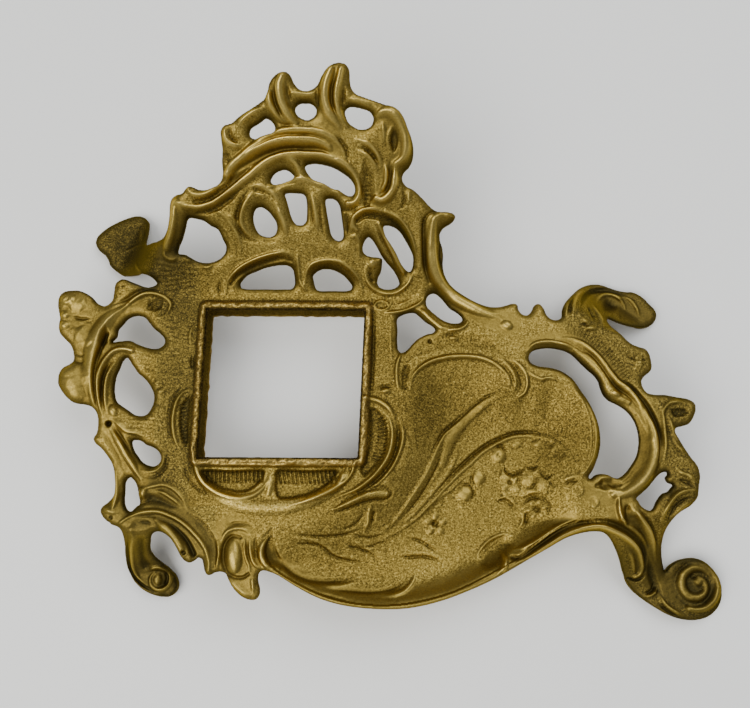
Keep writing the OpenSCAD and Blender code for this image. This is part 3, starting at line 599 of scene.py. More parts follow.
# second flower, comma and the little scrolls at the right
for turn in range(6):
    angle = math.radians(10 + 60 * turn)
    petal = (42.6 + 2.2 * math.cos(angle), -42.4 + 2.2 * math.sin(angle))
    boss(petal, (1.2, 0.9), 0.7, math.degrees(angle))
pit((42.9, -42.5), 0.8, 0.4)
bead([(37.6, -42.8), (38.7, -44.2), (38.7, -46.2), (37.4, -48.2)], 1.3, 0.8, (0.5, 0.3))
groove([(39.7, -43.2), (40, -45), (39.5, -47.4)], 0.8, 0.45)
bead([(50.2, -34), (52, -33.1), (54.6, -32.6), (56.8, -31.2)], 0.9, 0.6)
volute((54.6, -36.8), 90, 1.2, 1.9, 0.9, 0.8, 0.6)
volute((58.9, -40.2), 200, 0.8, 1.6, 1.2, 0.8, 0.5)
groove([(50.6, -35), (52.6, -34.2), (54.8, -34)], 0.7, 0.5)
groove([(44.6, -32), (46.6, -34.4), (49, -36)], 0.6, 0.35)

# blades along the front of the floor
fold([(-30.8, -50.2), (-28, -50.9), (-25, -51.1), (-22, -52), (-19.5, -53.6), (-17, -55.6),
      (-14, -56.7), (-10, -57.3)], 1.9, 0.55, -1, (0.3, 0.3))
groove([(-30.6, -51.4), (-28, -52.6), (-25, -52.6), (-22, -53.1), (-19.8, -54.4), (-17.5, -56.3),
        (-14, -57.4), (-10, -58), (-7, -58)], 0.7, 0.55)
groove([(-14.5, -52), (-12, -53.6), (-9, -54.5), (-6.8, -55.4), (-5, -57), (-3.9, -58.6)],
       0.7, 0.55)
bead([(-13, -51.4), (-10, -52.6), (-7.5, -54), (-6, -55.8), (-5.6, -57.6)], 1.2, 0.5)
groove([(-10, -53.4), (-7, -53.6), (-4, -52.6), (0, -51.6)], 0.5, 0.35)
groove([(1, -56.4), (5, -56.7), (9, -56.5), (12, -57.1), (15.5, -58.4)], 0.7, 0.5)
bead([(0, -55.4), (4, -55.4), (8, -55.2), (12, -55.9), (15.6, -57.4)], 1.3, 0.45)
groove([(4.4, -51), (7.4, -51.6), (10, -53), (12, -54.3), (14.6, -55.4)], 0.7, 0.5)
bead([(3.6, -50), (7.6, -50.5), (10.6, -52), (13.4, -54)], 1.1, 0.4)
groove([(-30, -49.5), (-25, -50.3), (-20, -50.5), (-14, -49.9), (-9.5, -48.4)], 0.9, 0.5)
groove([(-12.5, -49), (-9.5, -50.6), (-6, -50.8), (-2.5, -49.9)], 0.7, 0.4)
bead([(-6.5, -41.6), (-7, -44), (-7.2, -46.2), (-8.2, -49)], 1.4, 0.8, (0.5, 0.4))
groove([(-5.4, -42.4), (-5.6, -44.6), (-6, -46.8)], 0.9, 0.5)
groove([(-15.5, -48.5), (-12, -47.5), (-9.4, -45.2), (-8.6, -42.6)], 0.8, 0.35)

ridge = plain_ridge + FLOOR_RIDGES * (ridge - plain_ridge)
cuts = FLOOR_CUTS * cuts

# the wall in front: steps, the crescent leaf and the cusp
fold([(-20, -64.4), (-16, -64.6), (-13, -64.2), (-10.4, -63.5)], 1.5, 0.6, 1)
groove([(-18, -65.7), (-13, -66.1), (-8, -66.5), (-3, -66.2), (0.5, -65.3), (3, -63.8),
        (4.4, -62.2)], 1.1, 0.5)
bead([(-3, -67.6), (0.5, -67.1), (3.4, -66), (5.4, -64.2), (6.6, -62), (6.3, -60.4)], 1.5, 0.7,
     (0.3, 0.4))
groove([(-34, -51), (-34.6, -54), (-33.4, -57), (-30.6, -60), (-27, -62.2), (-22, -63.4),
        (-16, -63.3), (-11.5, -62.4)], 1.6, 0.6)
hollow([(24.6, -57.4), (26, -54.6), (28.4, -52.4), (31, -50.9), (33.4, -50.3), (35.2, -51),
        (36.4, -52.6), (35.6, -54.4), (34, -56.6), (31.6, -59.4), (28, -60.6), (25.4, -59.6)],
       0.8, 2.5)
bead([(25, -56.4), (26, -54.4), (28.2, -52), (31, -50.4), (33.6, -49.8), (35.6, -50.6)], 1.2, 0.7)
bead([(32, -54.6), (32.9, -56.8), (32.4, -59.2), (30.6, -60.8)], 1.9, 1.2)
groove([(35.2, -56.4), (37, -56.6), (39, -55.6), (41.6, -53.8), (44.4, -51.8), (47.2, -49.8),
        (50.4, -48), (53.6, -46.8), (58, -46.2), (62, -46.2)], 1.8, 1.3, (0.9, 0.4))
bead([(35.6, -54.3), (38.4, -53.4), (41.4, -51.9), (44, -50.3), (47, -48.4), (50, -46.8),
      (53, -45.7)], 1.4, 1.0)

# shell at the back of the tray
bead([(5.4, -7), (5.6, -4.4), (7, -1.9), (9, -0.1), (11.5, 1.3), (14.5, 2.2), (18, 2.8), (22, 2.9),
      (26, 2.5), (29, 1.5), (31.5, 0), (33.5, -1.8), (34.8, -3.6), (35.2, -5.6)], 1.7, 1.1)
bead([(30.5, 3), (33, 1.6), (35, -0.4), (36.5, -3), (37, -5.5), (36.3, -7.5)], 1.0, 0.6)
bead([(35, 2.6), (37.4, 0.8), (39.2, -1.2), (40.2, -3.5), (40.3, -6), (39.6, -8), (38, -9.1)],
     1.3, 0.9, (0.3, 0.8))
groove([(34, 2.2), (36.6, -0.2), (38, -2.6), (38.7, -5.4), (38.2, -7.4)], 0.9, 0.6)
groove([(32, 1), (34, -0.9), (35.6, -3.2), (36, -6)], 0.7, 0.4)
bead([(3, -8.6), (1.7, -6.4), (1.2, -3), (1.3, 0), (2.2, 2.8), (3.6, 4.8)], 1.4, 0.9)
hollow([(2.9, -7.6), (2.4, -5), (2.5, -1.5), (3.8, 0.8), (5.6, 0.6), (5.4, -2), (4.6, -4.6),
        (4.6, -7)], 0.7, 1.3)
trough([(3.6, 1), (6.6, 4.2), (11, 6.6), (17, 7.8), (23, 7.8), (29, 6.4), (33, 4)], 6, 0.7)
strokes([(5, 1), (8, 4), (12, 6), (17, 7.2), (23, 7.3), (28, 6), (32, 3.4)], 1.15, 2.6, 2.4,
        0.13)
boss((18.4, 8.5), (1.6, 0.7), 0.8, -15)
groove([(15.4, 9.4), (18, 9.5), (20, 9.2)], 0.8, 0.4)
pit((11.3, 7.5), 0.55, 0.9)
boss((34.5, 12.4), (1.9, 1.4), 0.9, -20)

# thickened rims of the tray
bead([(39.6, -0.4), (41.2, -2.3), (43.2, -3.5), (44.7, -4), (46.2, -3.6), (48, -3.8),
      (50.5, -4.8)], 1.2, 0.8, (0.4, 0.3))
bead([(50, -4.4), (53.5, -6.4), (56.2, -9.8), (58, -14), (58.8, -18.5), (58.8, -23), (58, -27),
      (56.4, -30), (54.6, -33)], 0.9, 0.6)
bead([(57.2, -9.4), (59.2, -13.6), (60.3, -18.5), (60.2, -23.2), (59.3, -27.2), (57.4, -30.6),
      (55.8, -33)], 1.1, 0.9)
bead([(36.6, -57.4), (39.4, -56.2), (43, -54), (47, -51.6), (51.4, -49.3), (55.4, -48),
      (60, -47.5)], 1.4, 1.1, (0.5, 0.9))
bead([(-37.3, -59.3), (-33.5, -60.9), (-28, -64.1), (-21, -67.5), (-13.4, -69.5), (-4, -70.4),
      (4.8, -70.1), (13.6, -68.2), (22.5, -65), (30.6, -61.3), (36.6, -57.8)], 1.1, 0.5, (0.6, 0.6))
groove([(-21, -66.6), (-17, -67.8), (-13, -68.8)], 0.6, 0.4)
bead([(-36.6, -50.4), (-38, -53), (-38.3, -55.8), (-37.2, -58.2), (-35, -59.8)], 2.2, 1.2)
trough([(-35.5, -48), (-36.6, -52), (-35.6, -56), (-32.8, -59.4)], 4.6, 0.8)

# ---- round the well ----

trough([(-57.5, -30), (-56, -34), (-51, -38.6), (-44, -41.4), (-36, -42), (-28, -40.9), (-20, -37.8),
        (-14.5, -33.5), (-12, -29.5)], 5.2, -1.1, (0.6, 0.6))
bead([(-59.3, -23), (-58.9, -26.5), (-58.2, -30), (-57.2, -32.6), (-55.4, -35), (-52, -37.3),
      (-48, -38.7), (-43.5, -39), (-40.4, -38), (-38, -36), (-36.6, -33.6)], 2, 1.0, (0.6, 0.5))
bead([(-30, -41.2), (-26, -40.1), (-22, -38.6), (-18.6, -37.1), (-16, -35.6), (-13.5, -33.5),
      (-11.7, -31.1), (-11, -28.6)], 1.7, 1.0, (0.3, 0.8))
bead([(-15.6, -30.6), (-15, -32.2), (-15.2, -34), (-17, -36)], 1.6, 0.7)
groove([(-12.4, -29), (-12.6, -31.4), (-14, -33.9), (-16, -35.2)], 0.9, 0.7)
hollow([(-57, -30.9), (-56.4, -33), (-54.4, -34.9), (-51.6, -36.3), (-48.6, -37.4), (-45.6, -37.9),
        (-42.8, -37.6), (-40.4, -36.3), (-38.6, -34.6), (-37.6, -32.6), (-37.6, -30.9),
        (-47, -30.8)], 1.2, 1.2)
hollow([(-34.8, -30.9), (-35, -34), (-35, -37.4), (-34, -39.4), (-30, -39.8), (-26.6, -39.3),
        (-23.4, -38.3), (-20.6, -36.8), (-18, -34.8), (-16.4, -32.6), (-15.8, -30.9),
        (-25, -30.8)], 1.2, 1.2)
strokes([(-56, -32.6), (-37.5, -32.6)], 1.25, 1.5, 2.2, 0.7)
strokes([(-34.6, -32.6), (-16, -32.6)], 1.25, 1.5, 2.6, 0.7, 0.15)
bead([(-36.2, -32.4), (-36.1, -35), (-36.6, -38)], 2.2, 0.7, (0.6, 0.8))
bead([(-57, -29.4), (-40, -29.6), (-25, -29.7), (-12, -29.6)], 1.0, 0.6, (0.6, 0.6))
groove([(-55, -28.9), (-40, -29), (-28, -29.1)], 0.6, 0.4)
groove([(-61, -28.6), (-61.1, -31), (-60.2, -33.6), (-57.6, -36.4), (-54, -38.6)], 1.1, 0.6)
groove([(-60, -28.6), (-59.8, -31), (-58.8, -33.4)], 0.6, 0.4)

# tongue leaf at the tray's corner
trough([(-1.8, -38.1), (-5, -38.1), (-9, -38.9), (-13, -40.6), (-17, -42.4)], 3.2, -0.9, (0.9, 0.3))
groove([(-0.4, -38.4), (-2.4, -39.8), (-6, -39.9), (-10, -41), (-14, -42.6), (-18, -43.9)],
       0.9, 0.6, (0.8, 0.3))
groove([(-0.2, -37.6), (-2, -36.2), (-4.6, -36), (-7.6, -37)], 0.8, 0.5, (0.8, 0.3))
fold([(-3, -37), (-7, -37.6), (-11, -39.4), (-15, -41.3), (-19.5, -43.2)], 1.6, 0.5, -1)

# crescent right of the well
bead([(-8.2, -9.6), (-6.5, -9.9), (-4.4, -10.4), (-2.4, -11.6), (-0.8, -13.2), (0.5, -15.4)], 1.9,
     1.1, (0.9, 0.4))
bead([(-3.8, -13.1), (-2.3, -14.2), (-1, -15.8), (-0.4, -17.6), (-0.1, -19.6), (-0.2, -22),
      (-0.6, -24.5), (-1.6, -27.2), (-3.1, -29.6), (-5.2, -32.2), (-8, -34.7), (-11, -36.7),
      (-14, -38), (-17.6, -39.5)], 1.5, 1.1)
bead([(1.6, -15), (2.7, -18), (3.1, -20.6), (2.8, -23.2), (2, -25.7), (0.9, -28.2), (-0.7, -30.9),
      (-2.6, -33.2), (-5, -35.3)], 1.3, 0.8)
groove([(0.8, -14), (1.5, -17), (1.7, -20.4), (1.3, -24), (0.2, -27.6), (-1.8, -30.8),
        (-4.4, -33.6), (-8, -36.4), (-12, -38.5)], 1.1, 0.9)
hollow([(-6.9, -12.4), (-5, -12.3), (-3, -14.2), (-1.6, -17), (-1.1, -20.5), (-1.6, -25),
        (-3.4, -28.6), (-6, -31.6), (-8.8, -33.4), (-10, -31), (-9, -28), (-7.6, -24),
        (-7.2, -18)], 1.0, 1.4)
strokes([(-3.6, -14.6), (-2.9, -19), (-3.3, -24), (-5, -29)], 1.05, 1.6, 1.6, 0.5, 0.3)
bead([(-7.4, -12), (-7.3, -15), (-7.6, -19), (-8, -22)], 0.8, 0.6)
boss((-2.1, -7.5), (1.8, 0.9), 0.8)
groove([(-4.4, -6.4), (-2, -6.1), (0.2, -6.3)], 0.9, 0.6)
groove([(-5.8, 16), (-5.7, 10), (-5.8, 4), (-6, -2), (-6.2, -7)], 1.2, 0.7, (0.8, 0.8))
bead([(-0.6, 14.6), (-0.6, 9), (-0.4, 4), (-0.3, 0)], 0.9, 0.5)

# crescent left of the well
bead([(-60.3, -7), (-62.4, -8), (-64, -10), (-64.8, -12.5), (-65.2, -15), (-65.2, -18),
      (-64.8, -20.6), (-63.9, -23.2), (-62.6, -25.8)], 1.5, 1.0)
hollow([(-60, -8.4), (-62, -9.6), (-63.4, -12), (-63.9, -15), (-63.8, -18.4), (-63, -22),
        (-61.6, -24.6), (-60.4, -23), (-60.2, -18), (-59.9, -12)], 0.9, 1.3)
strokes([(-62.4, -10.5), (-62.2, -15), (-61.8, -20), (-61.6, -23)], 1.1, 0.9, 1.1, 0.4, 0.4)
groove([(-62, -5.6), (-64.4, -7.6), (-66, -10.6), (-66.6, -14), (-66.5, -19), (-65.5, -23.5)],
       0.9, 0.5)
bead([(-58.8, 13.4), (-60.3, 11.4), (-60.9, 8.8), (-60.4, 6.2), (-59.4, 4.4)], 1.0, 0.6)
groove([(-59.9, 3), (-60.1, 1), (-59.7, -1)], 1.2, 0.8)

# ---- left wing ----

flow_lines([(-66.6, 18.6), (-66, 18.6), (-65.4, 18.4)], 1.3, 6.5, 6.5, 0.12)
flow_lines([(-72, 12), (-68, 9.6), (-63, 8.4), (-60.5, 8)], 1.25, 3.6, 4.2, 0.12)
flow_lines([(-76, 2.6), (-70.5, 1.2), (-65.6, 0.6), (-61.5, 1.4)], 1.35, 4.4, 4.0, 0.14)
flow_lines([(-80, -17), (-75.5, -17), (-70, -17.5), (-66.8, -19)], 1.3, 3, 3, 0.18)
flow_lines([(-67.6, -6), (-67.9, -12), (-67.8, -20), (-66.4, -27)], 1.4, 2.6, 2.6, 0.16)
boss((-69, -7.6), (1.4, 1), 0.6, 30)
boss((-70.2, -5), (1, 0.8), 0.5)
boss((-67.6, -6.2), (0.9, 0.9), 0.5)

# ---- left gallery and lobes ----

trough([(-79.5, 18.6), (-84, 15.6), (-87.6, 11.4), (-89.8, 6), (-90.5, 0), (-90.2, -6),
        (-89, -12)], 5.5, -1.0, (0.3, 0.3))
fold([(-82, 17), (-84.6, 14.9), (-86.6, 12.2), (-88, 9), (-89, 5.4), (-89.5, 1.6), (-89.8, -2.4),
      (-89.5, -7), (-88.9, -11)], 3.6, 1.0, 1, (0.3, 0.3))
groove([(-86, 9.6), (-87.4, 6), (-88.4, 3), (-89, 0), (-89.1, -4), (-88.7, -8), (-87.8, -12),
        (-86.6, -15)], 1.0, 1.2, (0.8, 0.5))
trough([(-86, 12), (-86.8, 8.4), (-86.9, 5.5)], 3, 0.9)
bead([(-78, 4.6), (-81, 5.2), (-83.5, 4.5), (-85.5, 2.5), (-87, 0), (-87.9, -3), (-88.1, -7),
      (-87.6, -11), (-86.6, -15)], 1.9, 1.3, (0.9, 0.5))
groove([(-83.6, 2), (-85.2, 0), (-86.4, -3), (-86.9, -6.4), (-86.7, -10), (-86, -13.6)], 0.8, 1.0)
bead([(-83.2, 1), (-84.4, -1), (-85.3, -3.6), (-85.7, -7), (-85.5, -11), (-84.9, -14)], 1.3, 0.9)
bead([(-81.8, 17), (-79, 19.5), (-76, 21.4), (-73, 22.1), (-70, 21.4), (-67.8, 20.2), (-66.8, 18.6),
      (-67.2, 17.2)], 1.6, 1.1, (0.3, 0.9))
trough([(-74, 17.4), (-71.4, 18.6), (-69.4, 17.4)], 4.4, 0.9)
volute((-70.4, 17.2), 60, -1.1, 3.2, 1.2, 1.0, 0.4)
groove([(-84.6, 18.6), (-80.6, 20.3), (-77, 22.4), (-73, 23.4), (-69, 23)], 1.2, 0.7)
for place in [(-83, 23.4), (-82.2, 21.6), (-81, 23.8), (-83.6, 21.2)]:
    pit(place, 0.45, 0.35)
strokes([(-84.4, 16.4), (-82.8, 17.6), (-81, 18.6)], 0.8, 0.8, 0.8, 0.25)
pit((-84.5, -17.3), 0.8, 1.6)
boss((-83.2, -13.5), (1.4, 1.9), 0.9, 20)
fold([(-83.4, -15.8), (-81, -17.8), (-79, -19.4), (-76.5, -20), (-74, -21)], 2.4, 1.0, -1)
bead([(-84, -18.4), (-82.5, -20.6), (-80.5, -23.6), (-78.8, -26.6), (-77, -29.2), (-75.5, -31.6),
      (-74, -33.8)], 2.2, 1.2)
groove([(-83.2, -17.8), (-81, -20.6), (-79, -23.6), (-77.4, -26)], 1.1, 0.8)
groove([(-86, -19), (-84, -23), (-81.4, -27.4), (-79.4, -31)], 1.0, 0.5)
bead([(-69.6, -24.4), (-68.2, -26.4), (-68.1, -29), (-69.8, -30.9), (-72, -31.4), (-74, -31)],
     1.3, 0.8)
groove([(-67, -25), (-66.6, -28), (-67.6, -31), (-70.4, -33), (-73.6, -33)], 1.0, 0.5)
bead([(-82.8, -29), (-82, -32), (-81.5, -36), (-81.6, -40), (-82.6, -43)], 1.7, 1.2)
bead([(-84.9, -42.4), (-83, -43), (-80.8, -43.6)], 1.4, 0.8)
pit((-83.6, -46.2), 0.6, 1.0)
pit((-82.8, -44.9), 0.5, 0.7)
boss((-73.6, -37.6), (1.3, 1.8), 1.3, -10)
for place, size in [((-98.2, 20.2), (2.2, 1.6)), ((-98.8, 15.4), (1.5, 1.2)),
                    ((-98.7, 12.4), (1.8, 1.4))]:
    boss(place, size, 0.8, 10)
trough([(-98.4, 19), (-95, 19), (-92, 18)], 6, -0.8)
trough([(-95.6, -3), (-95, -7)], 10, -1.3, (0.9, 0.9))
trough([(-96, 11), (-93, 9), (-92, 5)], 6, -0.6)
groove([(-96.6, 15.2), (-94, 14.4), (-91, 14.4)], 0.9, 0.8)
groove([(-93, 13.6), (-90.6, 13.4)], 0.6, 0.4)
groove([(-97, 2), (-94, 1.2), (-91.4, 1.6)], 1.2, 0.4)
groove([(-96, 4.2), (-93.6, 3.2), (-91.6, 3.6)], 0.8, 0.3)

# ---- front left scroll ----

fold([(-73.8, -37.4), (-72, -36.1), (-70, -35.7), (-68, -35.3), (-65.8, -35.8), (-63.4, -37.4),
      (-61.5, -39.7), (-60.4, -42.2)], 1.9, 0.9, -1)
bead([(-69.8, -36.9), (-67.5, -37.6), (-65.5, -38.8), (-63.5, -40.2), (-61.8, -41.8)], 1.2, 0.9)
hollow([(-73, -38.6), (-71.6, -37.2), (-69.6, -37.4), (-67, -38.8), (-64.6, -40.4), (-62.4, -42),
        (-64.4, -42.6), (-68, -42), (-72, -41.6), (-74.6, -41.4)], 1.1, 2.2)
bead([(-80, -46.4), (-77, -44.4), (-73, -43.2), (-69, -43), (-65.6, -44.1), (-62.6, -45.6),
      (-60.4, -47.2), (-58.4, -49.1), (-56.4, -51.3), (-55, -53.4), (-54.1, -55.6), (-53.6, -58),
      (-53.8, -60.2)], 1.6, 1.2, (0.5, 0.6))
groove([(-75, -44.6), (-72, -44.4), (-69, -44.6)], 0.7, 0.4)
groove([(-74.6, -46.4), (-72.4, -46.2), (-70.6, -46.8)], 0.7, 0.4)
trough([(-77, -48), (-74, -46.8), (-70.5, -46.8)], 4, 0.5)
bead([(-69.6, -45.4), (-67.7, -46.9), (-66, -48.4), (-64.6, -50.1), (-63.3, -51.9),
      (-62.2, -53.6), (-61.4, -55.2)], 3.2, 1.5, (0.4, 0.8))
pit((-61.2, -55), 0.75, 1.6)
hollow([(-66.6, -45.6), (-64, -46.8), (-61.6, -48.6), (-59.6, -50.6), (-58, -53), (-57, -55.6),
        (-58.4, -57), (-59.6, -56), (-60.6, -53.4), (-62, -51), (-63.8, -48.8)], 1.5, 1.5)
trough([(-60, -43.6), (-56.6, -46.6), (-53.6, -50.6), (-52, -55), (-52, -59)], 3.4, 0.7)
bead([(-51.4, -51.6), (-51, -54), (-51, -57), (-51.3, -59.8)], 1.1, 0.8)

# ---- front shell ----

boss((-46.3, -56), (2.3, 5), 1.5, 3)
groove([(-44.6, -50.6), (-47, -50.2), (-48.8, -51.8), (-49.6, -54.6), (-49.4, -58), (-48.2, -60.6),
        (-46, -62), (-43.6, -62), (-42, -61)], 1.1, 0.8, (0.8, 0.8))
bead([(-50, -51.4), (-48.8, -49.2), (-46.6, -48), (-44, -48), (-42.3, -48.8), (-41.2, -50.4)],
     1.3, 0.7)
groove([(-48.8, -47), (-46, -46.4), (-43, -46.6), (-40.6, -47.6)], 0.9, 0.4)
bead([(-43.4, -50.5), (-43.4, -53), (-42.9, -56), (-42, -58.4), (-41.6, -61)], 0.9, 0.8)
bead([(-42, -50.6), (-41.8, -53), (-41.4, -55.4), (-40.7, -57.6), (-39.4, -59), (-37.4, -59.6)],
     1.0, 1.0)
groove([(-42.7, -51), (-42.6, -54), (-42.1, -56.8), (-41, -59)], 0.6, 0.6)
bead([(-48.6, -61.4), (-46.8, -63.6), (-44.6, -65.6), (-42.6, -66.9), (-41, -67)], 1.4, 0.8)
bead([(-41.2, -61.6), (-40.7, -64), (-40.6, -66.4)], 1.2, 0.8)
groove([(-40, -50), (-40.2, -53), (-39.8, -56), (-39, -57.8)], 0.9, 0.6)

# ---- crest: arches ----

bead([(-43.4, 55.8), (-41.5, 57.1), (-39, 58.4), (-37, 59.5), (-34.5, 60.4), (-32, 61),
      (-28, 61.4), (-24, 61.4), (-20.6, 61), (-17.4, 59.9), (-15.4, 58.6), (-14.3, 57.2),
      (-13.7, 55.4)], 1.9, 1.3)
groove([(-42.6, 54.9), (-40, 56.9), (-37, 58.3), (-34, 59.5), (-30, 60.2), (-26, 60.3),
        (-22, 60.2), (-19, 59.4)], 0.8, 0.9)
groove([(-16, 60.4), (-14.2, 58.6), (-13, 56.8), (-12.8, 54.6)], 0.9, 0.9)
bead([(-47.2, 51.4), (-46, 53), (-44, 54.4), (-42, 55.5), (-39.6, 56.8), (-37, 57.8), (-34, 58.7),
      (-31, 59.2), (-28, 59.3), (-25, 59.2), (-22, 59.1), (-19.8, 58.6), (-18, 57.6)], 3.0, 1.9,
     (0.7, 0.5))
boss((-47.1, 51.6), (1.1, 1.1), 1.6)
trough([(-46, 50.6), (-43, 53.2), (-39, 55.3), (-35, 56.7), (-30, 57.5), (-25, 57.6), (-20, 56.9),
        (-16.4, 55.2)], 3.2, 0.9, (0.4, 0.4))
trough([(-57, 45.2), (-53, 45.8), (-49, 47.7), (-45, 50.3), (-41, 52.8)], 2.6, 0.9, (0.5, 0.5))
bead([(-62.6, 45.2), (-60.6, 44.3), (-58.4, 43.9), (-55.6, 43.8), (-52.6, 44.6), (-50, 45.8),
      (-48, 46.9), (-45.6, 48.3), (-43, 49.8), (-40.6, 51.2), (-38.6, 52.6), (-36.4, 53.9),
      (-34, 55), (-31, 55.9), (-28, 56.2), (-24, 56.1), (-20, 55.8), (-17, 55), (-14, 53.8),
      (-11.8, 52.1), (-10.4, 50), (-9.8, 47.8), (-10.2, 46), (-11.4, 44.8), (-13.2, 44.6)], 2.2,
     1.5, (0.7, 0.8))
bead([(-40.6, 50.6), (-37.6, 52.2), (-34.6, 53.8), (-31.4, 54.9)], 1.0, 0.6)
bead([(-59, 48), (-57, 46.9), (-55, 46.8), (-53, 47.3), (-51, 48.3), (-49.3, 49.6)], 1.8, 1.1)
bead([(-59, 48.7), (-58.2, 48)], 1.0, 0.9)
trough([(-57, 42.6), (-52, 43.3), (-47.6, 45.6), (-43.4, 48)], 2.4, 1.0, (0.4, 0.3))
bead([(-31, 54.9), (-28.8, 54.9), (-27.2, 53.6), (-26.2, 51.8), (-25.4, 50.6)], 1.5, 0.8)
groove([(-27.2, 55.2), (-26, 53.6)], 0.7, 0.5)
bead([(-35.4, 48.6), (-32, 49.8), (-28, 50.6), (-24, 50.2), (-20, 49.1), (-17, 47.9),
      (-14.8, 47)], 1.5, 1.0, (0.6, 0.5))
trough([(-8, 54), (-7.4, 50.6), (-7.2, 47), (-7.6, 44.6)], 4.6, 1.2, (0.4, 0.5))
strokes([(-7.8, 50), (-7.6, 47), (-7.9, 43.9)], 1.05, 1.4, 1.4, 0.45)
bead([(-10.4, 59.4), (-8, 58.7), (-6, 57.6), (-4.7, 56.2), (-3.8, 54.6), (-3.3, 53)], 1.5, 1.2)
bead([(-9.8, 56.8), (-8, 56.1), (-6.5, 55.1), (-5.3, 53.8), (-4.4, 52.2)], 1.2, 0.9)
groove([(-9.4, 58), (-7.2, 57), (-5.5, 55.5), (-4.3, 53.6)], 0.8, 0.8)
bead([(-2.3, 53.4), (-2, 51.4), (-2.2, 49.6), (-3, 48.2)], 1.6, 1.3, (0.5, 0.9))
groove([(-1, 54.8), (-1, 52), (-1.2, 49.6), (-2.2, 47.8), (-3.8, 47)], 0.8, 0.7)
bead([(0.4, 53.4), (0.3, 50.4), (-0.2, 48), (-1.6, 46.2), (-3.4, 45.4), (-5, 45.8)], 2.4, 1.6,
     (0.4, 0.8))
groove([(-16.6, 44.8), (-14.2, 43.3), (-12, 43.2), (-9.6, 44.4)], 0.9, 0.8)

# ---- crest: flames and knobs ----

bead([(-33.9, 71.6), (-34.2, 69.4), (-33.9, 67.4), (-32.6, 65.2), (-31, 63.5)], 1.9, 1.3)
groove([(-32.2, 72), (-32.6, 69.8), (-32.3, 67.6), (-31.2, 65.4), (-29.2, 63.4)], 0.8, 0.9)
bead([(-30.2, 73), (-31, 71), (-31, 68.6), (-30.2, 66.4), (-28.8, 64.6), (-27, 63)], 3.2, 1.6,
     (0.7, 0.5))
groove([(-32.4, 64), (-30.6, 62.8), (-28, 62.4)], 0.7, 0.6)
bead([(-17.2, 74.4), (-18.3, 72), (-18.8, 70), (-18.8, 68), (-18.2, 66), (-16.8, 64),
      (-15.2, 62.2)], 3.0, 1.6, (0.8, 0.4))
groove([(-15.8, 73.2), (-16.7, 71.4), (-17.1, 69.4), (-17.1, 67.6), (-16.5, 65.8),
        (-15.3, 64)], 0.7, 0.7)
bead([(-14.3, 74.4), (-15, 72), (-15.6, 70), (-15.7, 68), (-15.3, 66), (-14.2, 64),
      (-13, 62.4)], 2.1, 1.5, (0.8, 0.4))
groove([(-20.8, 70.6), (-21, 68.4), (-20.4, 66)], 1.0, 0.9)
groove([(-13.5, 71), (-13.7, 69), (-13.9, 67)], 1.0, 0.9)
groove([(-29, 71.4), (-28.6, 69.4), (-28, 67.4)], 0.9, 0.7)
bead([(-28, 69.4), (-24.6, 69.2), (-21, 69.4)], 1.8, 0.7, (0.7, 0.7))
bead([(-43.6, 61.8), (-41.4, 63.8), (-38.8, 65.4), (-36, 66.2)], 1.5, 0.9)
strokes([(-40.4, 65.8), (-37.8, 67), (-35.8, 67.6)], 0.9, 0.8, 0.8, 0.4)
bead([(-46.6, 62.2), (-46.9, 60.4), (-46, 58.8), (-44.2, 57.9), (-42.2, 57.9)], 1.6, 1.2)
groove([(-45.2, 62.4), (-45.3, 60.8), (-44.4, 59.4), (-42.8, 59)], 0.8, 0.9)
trough([(-46.8, 57), (-46.9, 54)], 3, 0.8)
bead([(-13, 68.3), (-11, 67.9), (-9, 67.4), (-7, 66.6), (-5, 66)], 1.4, 0.8)
bead([(-4.6, 64.8), (-2.6, 65.6), (-0.2, 65.2), (1.6, 63.6), (2.8, 61.4), (3.5, 59.2), (3.5, 57),
      (2.6, 55), (0.6, 53.8)], 3.2, 1.5, (0.5, 0.6))
hollow([(0, 62.3), (-1, 60.8), (-1.3, 59.2), (-0.9, 57.6), (0, 56.2), (0.9, 57), (1.5, 58.8),
        (1.4, 60.6), (0.7, 61.8)], 1.0, 1.0)
bead([(-0.3, 62.4), (-1.5, 60.4), (-1.6, 58.4), (-0.4, 56.4)], 0.8, 0.6)
bead([(-3.2, 63), (-2.9, 61), (-2.7, 58.4)], 1.3, 0.9)

# ---- crest: fan, left shoulder and half-moons ----

bead([(-53.8, 41.9), (-52, 42.7), (-50.2, 42.6), (-48.4, 41.3), (-46.6, 39), (-45.3, 36.6),
      (-44.8, 34.4), (-45, 32.4)], 1.3, 0.7)
bead([(-48.4, 42.3), (-46.6, 41.3), (-45.2, 39.9), (-44.6, 38.4)], 1.0, 0.8)
flow_lines([(-50, 40.6), (-47.6, 37.6), (-46, 34.4), (-46, 31)], 1.2, 0.2, 3.6, 0.3)
bead([(-40.1, 47.2), (-41.9, 45.4), (-43.4, 43.2), (-44.1, 41), (-43.8, 39.2), (-42.6, 37.6),
      (-40.9, 36.6)], 1.5, 0.9)
groove([(-41.6, 47.6), (-43.8, 45), (-45.2, 42), (-45.2, 39.6), (-44.2, 37.6), (-42.4, 36),
        (-40, 35.4)], 1.1, 0.9, (0.4, 0.5))
bead([(-40.6, 48.9), (-38, 48.8), (-35.8, 48), (-33.8, 46.6), (-32.4, 44.4)], 1.4, 0.8)
bead([(-39.4, 46.8), (-37.6, 46.6), (-36.4, 46)], 1.1, 0.7)
groove([(-40.4, 48), (-38, 47.7), (-35.6, 46.8)], 0.7, 0.6)
bead([(-33.6, 44.6), (-32.6, 42), (-31.6, 39.6), (-31, 37)], 2.2, 0.8, (0.5, 0.3))
bead([(-23.4, 46.6), (-22.6, 43.6), (-22.1, 40.4), (-22, 37.6)], 1.6, 0.9, (0.58, 0.24))
